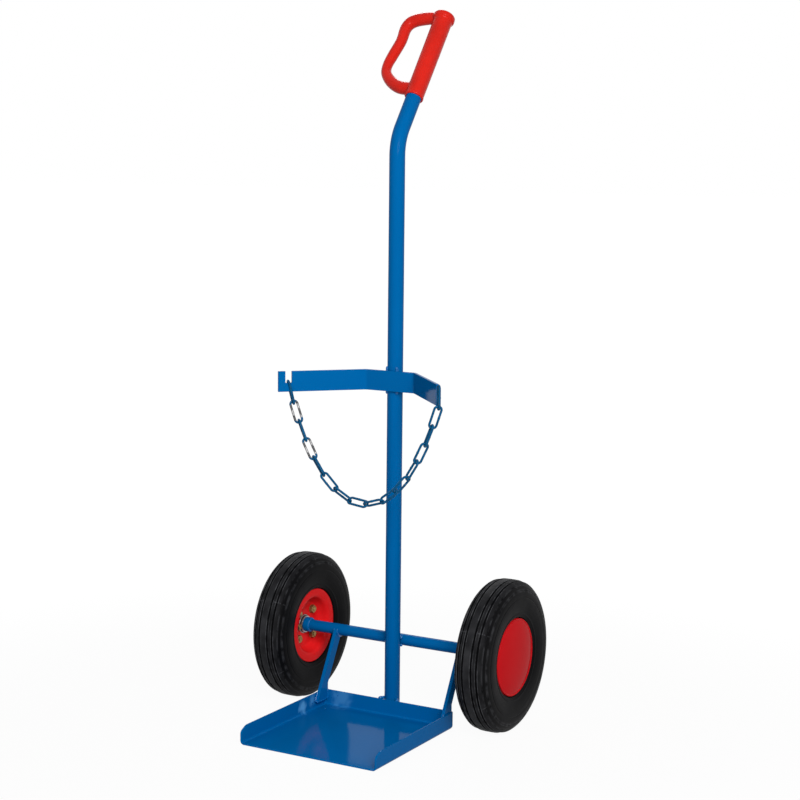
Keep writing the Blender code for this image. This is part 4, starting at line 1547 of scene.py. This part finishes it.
@dataclass(frozen=True)
class Wheel:
    """A pneumatic wheel, modelled once with its outer side at +X."""

    section_half: float = 0.031
    roundness: float = 3.0
    crown: float = 0.130
    widest: float = 0.094
    grooves: tuple = (0.017, 0.008, -0.008, -0.017)
    groove_depth: float = 0.0036
    # A groove's half widths at its top and at its floor, with the rounding at each
    groove_top: Point = (0.0018, 0.0005)
    groove_floor: Point = (0.0018 * 0.55, 0.0006)
    tyre_steps: int = 144
    # One side of the tyre from the tread's edge to the bead, as places across, radii and roundings
    flank: tuple = (
        (0.0225, 0.1247, 0.0015),
        (0.0243, 0.1228, 0.0004),
        (0.0240, 0.1217, 0.0003),
        (0.0251, 0.1218, 0.0004),
        (0.0270, 0.1189, 0.0030),
        (0.0288, 0.1147, 0.0004),
        (0.0281, 0.1138, 0.0003),
        (0.0292, 0.1135, 0.0004),
        (0.0303, 0.1075, 0.0040),
        (0.0306, 0.1035, 0.0030),
        (0.0303, 0.1013, 0.0006),
        (0.0309, 0.1002, 0.0008),
        (0.0309, 0.0940, 0.0060),
        (0.0302, 0.0870, 0.0080),
        (0.0290, 0.0805, 0.0060),
        (0.0276, 0.0752, 0.0010),
        (0.0279, 0.0742, 0.0003),
        (0.0277, 0.0728, 0.0003),
        (0.0268, 0.0720, 0.0010),
        (0.0252, 0.0680, 0.0015),
        (0.0206, 0.0667, 0.0006),
        (0.0206, 0.0513, 0.0042),
        (0.0126, 0.0513, 0.0020),
        (0.0126, 0.0616, 0.0010),
        (0.0228, 0.0825, 0.0050),
        (0.0245, 0.0983, 0.0080),
        (0.0195, 0.1140, 0.0080),
    )
    inside: Triple = (0.0, 0.1200, 0.0100)
    rim_steps: int = 96
    rim: tuple = (
        (0.00015, 0.0173, 0.0003),
        (0.00015, 0.0460, 0.0020),
        (0.0050, 0.0510, 0.0020),
        (0.0209, 0.0510, 0.0040),
        (0.0209, 0.0660, 0.0005),
        (0.0229, 0.0660, 0.0009),
        (0.0229, 0.0500, 0.0090),
        (0.0120, 0.0470, 0.0120),
        (0.00215, 0.0415, 0.0070),
        (0.00215, 0.0173, 0.0004),
    )
    # The hub's ends, its inner and outer radius and the rounding of its edges
    hub: tuple = ((-0.003, 0.017), (0.0133, 0.0170), (0.0003, 0.0007))
    inner_bush: tuple = (
        (0.0050, 0.0103, 0.0003),
        (0.0050, 0.0130, 0.0003),
        (-0.0033, 0.0130, 0.0001),
        (-0.0033, 0.0160, 0.0004),
        (-0.0048, 0.0160, 0.0005),
        (-0.0048, 0.0103, 0.0003),
    )
    hub_steps: int = 48
    cover_radius: float = 0.066
    cover_seat: float = 0.0232
    cover_top: float = 0.0303
    cover_sheet: float = 0.0016
    cover_steps: int = 18
    dome_share: float = 0.93
    # The cover's rolled edge: heights over its seat, places in from its edge and roundings
    cover_lip: tuple = (
        (0.0022, 0.0030, 0.0010),
        (0.0030, 0.0018, 0.0008),
        (0.0028, 0.0, 0.0012),
        (0.0, 0.0, 0.0010),
        (0.0, 0.0048, 0.0004),
    )
    lip_width: float = 0.0050
    bolts: int = 4
    bolt_circle: float = 0.0325
    bolt_turn: float = 0.7
    bolt_hole: float = 0.0043
    hole_length: float = 0.012
    hole_sides: int = 24
    clamp: float = 0.00245
    head_width: float = 0.013
    head_edge: float = 0.0009
    head_height: float = 0.0053
    head_washer: float = 0.0008
    nut_height: float = 0.0065
    nut_washer: float = 0.0010
    washer_radius: float = 0.0076
    washer_edges: Point = (0.0001, 0.0003)
    washer_steps: int = 36
    shank: float = 0.004
    shank_steps: int = 28
    shank_play: float = 0.0002
    shank_in_nut: float = 0.001
    shank_in_head: float = 0.002
    tip: float = 0.0025
    tip_chamfer: float = 0.0007
    thread_start: float = 0.0004
    thread_pitch: float = 0.00062
    thread_depth: float = 0.0006
    valve_offset: float = 0.00765
    stem_steps: int = 32
    # The valve's stem and its cap: places out from the axle, radii and roundings
    stem: tuple = (
        (0.024, 0, 0),
        (0.024, 0.0036, 0.0004),
        (0.0405, 0.0036, 0.0004),
        (0.0410, 0.0038, 0.0003),
        (0.0440, 0.0038, 0.0003),
        (0.0445, 0.0034, 0.0003),
        (0.0620, 0.0038, 0.0004),
        (0.0620, 0, 0),
    )
    cap: tuple = (
        (0.0217, 0, 0),
        (0.0217, 0.0047, 0.0010),
        (0.0322, 0.0050, 0.0004),
        (0.0322, 0.0041, 0.0002),
        (0.0237, 0.0041, 0.0002),
        (0.0237, 0, 0),
    )
    cap_steps: int = 48
    rib_ends: Point = (0.024, 0.031)
    rib_radius: float = 0.0045
    rib_inset: float = 0.0001
    rib_depth: float = 0.00025

    @property
    def bolt_places(self) -> list[Vector]:
        """The places of the bolts."""
        turns = [math.tau * (number + 0.5) / self.bolts for number in range(self.bolts)]
        return [Vector((0, math.cos(turn), math.sin(turn))) * self.bolt_circle for turn in turns]

    @property
    def valve_place(self) -> Matrix:
        """Turns a piece along X into the valve's place."""
        return Matrix.Translation((-self.valve_offset, 0, 0)) @ Matrix.Rotation(math.pi / 2, 4, "Z")

    def tyre_section(self) -> list[Point]:
        """Works out the tyre's section.

        Returns:
            Its points, from the tread round to the inside and back.
        """
        tread: list[Triple] = []
        for middle in self.grooves:
            share = 1 - (abs(middle) / self.section_half) ** self.roundness
            surface = self.widest + (self.crown - self.widest) * share ** (1 / self.roundness)
            (half, rounding), (floor_half, floor_rounding) = self.groove_top, self.groove_floor
            deep = surface - self.groove_depth
            tread.append((middle + half, surface, rounding))
            tread.append((middle + floor_half, deep, floor_rounding))
            tread.append((middle - floor_half, deep, floor_rounding))
            tread.append((middle - half, surface, rounding))
        mirrored = [(-across, radius, rounding) for across, radius, rounding in self.flank]
        return Bench.rounded(tread + mirrored + [self.inside] + list(reversed(self.flank)), steps=3)

    def cover_section(self) -> list[Point]:
        """Works out the cover's section: a low dome with a rolled edge.

        Returns:
            Its points.
        """
        crown = self.cover_top - self.cover_seat - self.cover_sheet
        edge = self.cover_radius
        dome = []
        for step in range(self.cover_steps + 1):
            share = step / self.cover_steps * self.dome_share
            fall = crown * (0.8 * share**2 + 0.2 * share**6)
            dome.append((self.cover_top - fall, share * edge))
        lip = [(self.cover_seat + up, edge - inward, rounding) for up, inward, rounding in self.cover_lip]
        under = [(along - self.cover_sheet, radius) for along, radius in reversed(dome)]
        under = [point for point in under if point[1] < edge - self.lip_width]
        return dome + Bench.rounded(lip, closed=False) + under

    def build(self, coats: dict[str, Coat]) -> None:
        """Models each piece once and sets it on both sides.

        Args:
            coats: Every finish by name, with the side before it where the sides differ.
        """
        models = {
            "tyre": ("tyre", Bench.lathe("ribbed_tyre", self.tyre_section(), self.tyre_steps)),
            "wheel_cover": ("red", Bench.lathe("cover", self.cover_section(), self.rim_steps, closed=False)),
            "hub_sleeve": ("steel", Bench.turned("hub", Bench.ring(*self.hub), self.hub_steps)),
            "inner_bush": ("bush", Bench.turned("bush", self.inner_bush, self.hub_steps)),
            "outer_rim_half": ("rim", self.rim_half("outer_rim", 1)),
            "inner_rim_half": ("rim", self.rim_half("inner_rim", -1)),
            "valve_stem": ("tube", self.valve_stem()),
            "valve_cap": ("zinc", self.valve_cap()),
        }
        bolt = self.bolt()
        for number, place in enumerate(self.bolt_places):
            copy = Bench.copied(bolt, "bolt")
            turn = Matrix.Rotation(self.bolt_turn * number, 4, "X")
            Bench.place(copy, Matrix.Translation(place) @ turn)
            models[f"rim_bolt_{number + 1}"] = ("zinc", copy)
        Bench.remove(bolt)
        for node, (finish, model) in models.items():
            for side in Side:
                piece = Bench.copied(model, f"{side.word}_{model.name}")
                self.mount(piece, side)
                coat = coats.get(finish) or coats[f"{side.word}_{finish}"]
                Bench.settle(piece, coat, side.body, f"{side.word}_{node}")
            Bench.remove(model)

    @staticmethod
    def centre(side: Side) -> Vector:
        """The middle of a wheel."""
        low, high = solid_corners(f"{side.word}_tyre")
        return (low + high) / 2

    @staticmethod
    def mount(piece: Piece, side: Side) -> None:
        """Moves a piece from the model wheel to a side of the cart."""
        turn = 0.0 if side is Side.RIGHT else math.pi
        Bench.place(piece, Matrix.Translation(Wheel.centre(side)) @ Matrix.Rotation(turn, 4, "Z"))

    def rim_half(self, name: str, sign: int) -> Piece:
        """Presses a rim half and drills it.

        Args:
            name: The piece's name.
            sign: 1 for the outer half and -1 for the inner one.

        Returns:
            The rim half.
        """
        corners = [(sign * along, radius, rounding) for along, radius, rounding in self.rim]
        half = Bench.turned(name, corners, self.rim_steps)
        for place in self.bolt_places:
            hole = Bench.rod("bolt_hole", self.hole_sides, self.bolt_hole, self.hole_length, place)
            Bench.cut(half, hole)
        return half

    def hexagon(self, name: str, start: float, height: float, top: int) -> Piece:
        """A hexagon along X with a turned-down end.

        Args:
            name: The piece's name.
            start: Its lower face's place.
            height: Its height.
            top: The sign of the end that is turned down.

        Returns:
            The hexagon.
        """
        piece = Bench.rod(name, 6, self.head_width / math.sqrt(3), height, (start + height / 2, 0, 0))
        with Bench.editing(piece):
            Bench.pick(piece, Element.FACE, lambda middle, normal: normal.x * top > 0.9)
            bpy.ops.mesh.bevel(offset=self.head_edge, offset_type="OFFSET", segments=2, affect="EDGES")
        return piece

    def bolt(self) -> Piece:
        """Makes a hexagon bolt with two washers, its nut and its threaded tip.

        Returns:
            The bolt, along X.
        """
        head = self.hexagon("head", self.clamp + self.head_washer, self.head_height - self.head_washer, 1)
        nut_start = -(self.clamp + self.nut_height)
        nut = self.hexagon("nut", nut_start, self.nut_height - self.nut_washer, -1)
        washers = []
        starts = (self.clamp, -self.clamp - self.nut_washer)
        for start, thick in zip(starts, (self.head_washer, self.nut_washer)):
            corners = Bench.ring((start, start + thick), (self.shank, self.washer_radius), self.washer_edges)
            section = Bench.rounded(corners, steps=2)
            washers.append(Bench.lathe("bolt_washer", section, self.washer_steps))
        end = nut_start - self.tip
        thread = [(end, 0.0), (end, self.shank - self.tip_chamfer)]
        for turn in range(4):
            along = end + self.thread_start + self.thread_pitch * turn
            thread.append((along, self.shank - (self.thread_depth if turn % 2 else 0.0)))
        plain, far = self.shank - self.shank_play, self.clamp + self.shank_in_head
        thread += [(nut_start + self.shank_in_nut, plain), (far, plain), (far, 0.0)]
        shank = Bench.lathe("shank", thread, self.shank_steps, closed=False)
        return Bench.joined("model_bolt", [head, nut, shank, *washers])

    def valve_stem(self) -> Piece:
        """Turns the rubber stem with its moulded rings.

        Returns:
            The stem in its place.
        """
        stem = Bench.turned("valve_stem_model", self.stem, self.stem_steps, closed=False)
        Bench.place(stem, self.valve_place)
        return stem

    def valve_cap(self) -> Piece:
        """Turns the cap, with ribs round it and a rounded end.

        Returns:
            The cap in its place.
        """
        cap = Bench.turned("valve_cap_model", self.cap, self.cap_steps, closed=False)
        with Bench.editing(cap):
            Bench.pick(cap, Element.FACE, self.is_groove)
            bpy.ops.mesh.inset(thickness=self.rib_inset, depth=-self.rib_depth, use_individual=True)
        Bench.place(cap, self.valve_place)
        return cap

    def is_groove(self, middle: Vector, normal: Vector) -> bool:
        """Whether a face of the cap is one of every second strip of its side, which are sunk.

        Args:
            middle: The face's middle.
            normal: Its normal.

        Returns:
            True for such a face.
        """
        strip = round((math.atan2(middle.y, middle.z) / math.tau) * self.cap_steps - 0.5)
        outside = math.hypot(middle.y, middle.z) > self.rib_radius and abs(normal.x) < 0.2
        return outside and self.rib_ends[0] < middle.x < self.rib_ends[1] and strip % 2 == 0


@dataclass(frozen=True)
class Welds:
    """Rippled weld beads, painted over with the frame."""

    cradle: Cradle
    voxel: float = 0.0006
    smoothing: int = 2
    smooth_angle: float = math.radians(60)
    spacing: float = 0.62
    # The radii of the beads
    foot_bead: float = 0.0030
    cradle_bead: float = 0.0025
    axle_bead: float = 0.0026
    brace_bead: float = 0.0020
    collar_bead: float = 0.0015
    spatter_bead: float = 0.0012
    anchor_bead: float = 0.0024
    axle: Point = (0.168, 0.130)
    brace_x: float = 0.1242
    brace_face: float = 0.0034
    seat_radius: float = 0.0112
    # Where the bead at a brace's seat starts and how far it goes round, in degrees
    seat_arc: Point = (172.0, 116.0)
    collar_radius: float = 0.0108
    # The bead at the mast's foot, on the right side
    foot: tuple = ((0.0125, 0.1372, 0.0305), (0.0170, 0.1316, 0.0302))
    # The cradle's beads: out from the mast's middle, back, and up from the cradle's middle
    cradle_place: Point = (0.0094, 0.1332)
    cradle_ends: Point = (-0.0205, 0.0225)
    # The beads above and below the axle: height from it, half length, place to the back and curve
    saddle_up: float = 0.0066
    saddle_half: float = 0.011
    saddle_back: float = 0.1592
    saddle_curve: float = 36.0
    # The straight beads of the right brace's foot, with X from the brace's middle
    brace_foot: tuple = (
        ((-0.0034, 0.1266, 0.0170), (-0.0034, 0.1266, 0.0300)),
        ((-0.0016, 0.0950, 0.0150), (-0.0016, 0.1255, 0.0150)),
        ((0.0018, 0.1005, 0.0300), (0.0018, 0.0935, 0.0165)),
    )
    anchor_out: float = 0.0010
    anchor_ends: Point = (-0.012, 0.010)
    # Drops that were thrown on the pan's floor and upstands, on the right side
    spatter: tuple = (
        (0.1190, 0.0900, 0.0026),
        (0.1130, 0.1040, 0.0028),
        (0.1080, 0.1180, 0.0029),
        (0.1270, 0.0850, 0.0150),
        (0.1274, 0.0780, 0.0205),
        (0.1130, 0.1272, 0.0170),
        (0.1010, 0.1274, 0.0222),
    )

    def build(self, coat: Coat) -> None:
        """Lays every bead.

        Args:
            coat: The paint over them.
        """
        self.lay("mast_foot_weld", [side.mirrored(self.foot) for side in Side], self.foot_bead, coat)
        out, back = self.cradle_place
        line = [(out, back, self.cradle.centre_height + up) for up in self.cradle_ends]
        self.lay("cradle_weld", [side.mirrored(line) for side in Side], self.cradle_bead, coat)
        saddles = [self.saddle(self.saddle_up), self.saddle(-self.saddle_up)]
        self.lay("axle_weld", saddles, self.axle_bead, coat)
        for side in Side:
            self.lay(f"{side.word}_brace_weld", self.brace_beads(side), self.brace_bead, coat)
            self.lay(f"{side.word}_collar_weld", [self.ring(side)], self.collar_bead, coat)
            drops = [[place] for place in side.mirrored(self.spatter)]
            self.lay(f"{side.word}_weld_spatter", drops, self.spatter_bead, coat)
        end = self.cradle.arm_end(Side.RIGHT) + self.cradle.arm_direction(Side.RIGHT) * self.anchor_out
        line = [end + Vector((0, 0, up)) for up in self.anchor_ends]
        self.lay("anchor_weld", [line], self.anchor_bead, coat)

    def saddle(self, up: float) -> list[Vector]:
        """The bead between the mast and the axle, above or below it.

        Args:
            up: The bead's height over the axle's middle.

        Returns:
            The bead's line.
        """
        places = [self.saddle_half * (step / 4 - 1) for step in range(9)]
        curve = self.saddle_curve
        return [Vector((x, self.saddle_back - curve * x * x, self.axle[1] + up)) for x in places]

    def round_axle(self, x: float, radius: float, angles: Sequence[float]) -> list[Vector]:
        """A line round the axle.

        Args:
            x: Its place along the axle.
            radius: Its radius.
            angles: The angles of its points, in degrees.

        Returns:
            Its points.
        """
        line = []
        for angle in angles:
            turn = math.radians(angle)
            back, up = radius * math.cos(turn), radius * math.sin(turn)
            line.append(Vector((x, self.axle[0] + back, self.axle[1] + up)))
        return line

    def brace_beads(self, side: Side) -> list[list[Vector]]:
        """The beads of a brace: round the axle on both faces, and along the pan's upstands.

        Args:
            side: The brace's side.

        Returns:
            The beads' lines.
        """
        beads = []
        start, turn = self.seat_arc
        angles = [start + turn * step / 8 for step in range(9)]
        for face in (-1, 1):
            x = side.value * self.brace_x + face * self.brace_face
            beads.append(self.round_axle(x, self.seat_radius, angles))
        for line in self.brace_foot:
            beads.append(side.mirrored([(self.brace_x + x, y, z) for x, y, z in line]))
        return beads

    def ring(self, side: Side) -> list[Vector]:
        """Draws the bead round the axle at the inner end of a collar.

        Args:
            side: The collar's side.

        Returns:
            The bead's line.
        """
        low, high = solid_corners(f"{side.word}_axle_collar")
        x = low.x if side is Side.RIGHT else high.x
        return self.round_axle(x, self.collar_radius, range(0, 375, 15))

    def lay(self, name: str, lines: list[list[Vector]], radius: float, coat: Coat) -> None:
        """Lays beads as rows of overlapping drops, fused into one skin.

        Args:
            name: The piece's name.
            lines: The beads' lines.
            radius: The drops' radius.
            coat: The paint.
        """
        drops = []
        add = bpy.ops.mesh.primitive_uv_sphere_add
        for line in lines:
            for index, place in enumerate(self.drops(line, radius * self.spacing)):
                swell = 1.0 + 0.10 * math.sin(2.4 * index) + 0.06 * math.sin(5.1 * index)
                ball = {"segments": 14, "ring_count": 8, "radius": radius * swell}
                drops.append(Bench.start("drop", add, location=place, **ball))
        bead = Bench.joined(name, drops)
        Bench.fuse(bead, self.voxel, self.smoothing)
        Bench.settle(bead, coat, FRAME_BODY, angle=self.smooth_angle)

    @staticmethod
    def drops(line: list[Vector], spacing: float) -> list[Vector]:
        """Even places along a line.

        Args:
            line: The line's corners.
            spacing: The distance between two places.

        Returns:
            The places, from the first end to the last.
        """
        places = []
        for before, after in zip(line, line[1:]):
            count = max(1, round((after - before).length / spacing))
            places += [before.lerp(after, step / count) for step in range(count)]
        return places + [line[-1]]


def build_coats(tray: LoadTray, grip: HandGrip, wheel: Wheel) -> dict[str, Coat]:
    """Mixes every finish.

    Args:
        tray: The tray, whose paint has patches of painted reflection.
        grip: The grip, whose seam follows its guard.
        wheel: The wheel, whose tyre's marks follow its section.

    Returns:
        The finishes by name.
    """
    blue = ((0.0, 0.123, 0.376, 1.0), (0.0, 0.117, 0.360, 1.0))
    cover_red = ((0.58, 0.008, 0.012, 1.0), (0.53, 0.006, 0.010, 1.0))
    # The rims' red is lighter than the cover's red: painted light that lifts the shade in the rims' recessed
    # dishes
    rim_red_with_painted_light = ((0.84, 0.014, 0.016, 1.0), (0.78, 0.010, 0.013, 1.0))
    bright = ((0.44, 0.45, 0.46, 1.0), (0.33, 0.33, 0.34, 1.0))
    # Yellow zinc darkened: painted shade for the bolts in the rims' dishes, also used on the valve caps
    yellow_with_painted_shade = ((0.36, 0.24, 0.10, 1.0), (0.24, 0.15, 0.06, 1.0))
    tube_black = ((0.014, 0.014, 0.015, 1.0), (0.03, 0.03, 0.03, 1.0))
    bush_black = ((0.02, 0.02, 0.021, 1.0), (0.05, 0.05, 0.05, 1.0))
    grip_red = (0.68, 0.018, 0.010, 1.0)
    plane = tuple(grip.frame.col[2][:3])
    finishes = {
        "tray": PowderCoat("tray_powder_coat", Slot.BLUE, *blue, hazed=tray.hazed),
        "blue": PowderCoat("blue_powder_coat", Slot.BLUE, *blue),
        "weld": PowderCoat("painted_weld", Slot.BLUE, *blue, 0.16, 0.30),
        "red": PowderCoat("red_wheel_paint", Slot.RED, *cover_red, 0.10, 0.012),
        "rim": PowderCoat("red_rim_paint", Slot.RED, *rim_red_with_painted_light, 0.12, 0.02),
        "grip": GripPlastic(grip_red, tuple(grip.mast.corner), plane),
        "steel": Plating("bright_zinc", Slot.STEEL, *bright, 0.30),
        "zinc": Plating("yellow_zinc", Slot.ZINC, *yellow_with_painted_shade, 0.42),
        "tube": PlainPlastic("tube_rubber", Slot.TUBE, *tube_black),
        "bush": PlainPlastic("bush_plastic", Slot.BUSH, *bush_black),
    }
    for side in Side:
        name = f"{side.word}_tyre"
        finishes[name] = TyreRubber(f"{name}_rubber", tuple(wheel.centre(side)), wheel)
    return {name: finish.make() for name, finish in finishes.items()}


def dress_hidden(nodes: dict[str, Piece], coats: dict[str, Coat]) -> None:
    """Gives the solids that stay, which lie inside the wheels, their finish.

    Args:
        nodes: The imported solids.
        coats: Every finish.
    """
    finishes = {"inner_tube": "tube", "outer_bush": "bush", "outer_washer": "steel", "cotter_pin": "steel"}
    for side in Side:
        for node, finish in finishes.items():
            solid = nodes[f"{side.word}_{node}"]
            solid.data.materials.clear()
            solid.data.materials.append(coats[finish].material)
            LOG.info("%s keeps its solid", solid.name)


def main() -> None:
    """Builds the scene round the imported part."""
    logging.basicConfig(level=logging.INFO, format="%(name)s: %(message)s")
    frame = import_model()
    Studio().build()
    tray, mast, wheel = LoadTray(), Mast(), Wheel()
    grip, cradle = HandGrip(mast), Cradle(mast)
    coats = build_coats(tray, grip, wheel)
    tray.build(coats["tray"])
    mast.build(coats["blue"])
    grip.build(coats["grip"])
    AxleSet().build(coats["blue"], coats["steel"])
    Braces().build(coats["blue"])
    cradle.build(coats["blue"])
    Chain(cradle).build(frame["joints"])
    wheel.build(coats)
    Welds(cradle).build(coats["weld"])
    dress_hidden(frame["nodes"], coats)


if __name__ == "__main__":
    main()
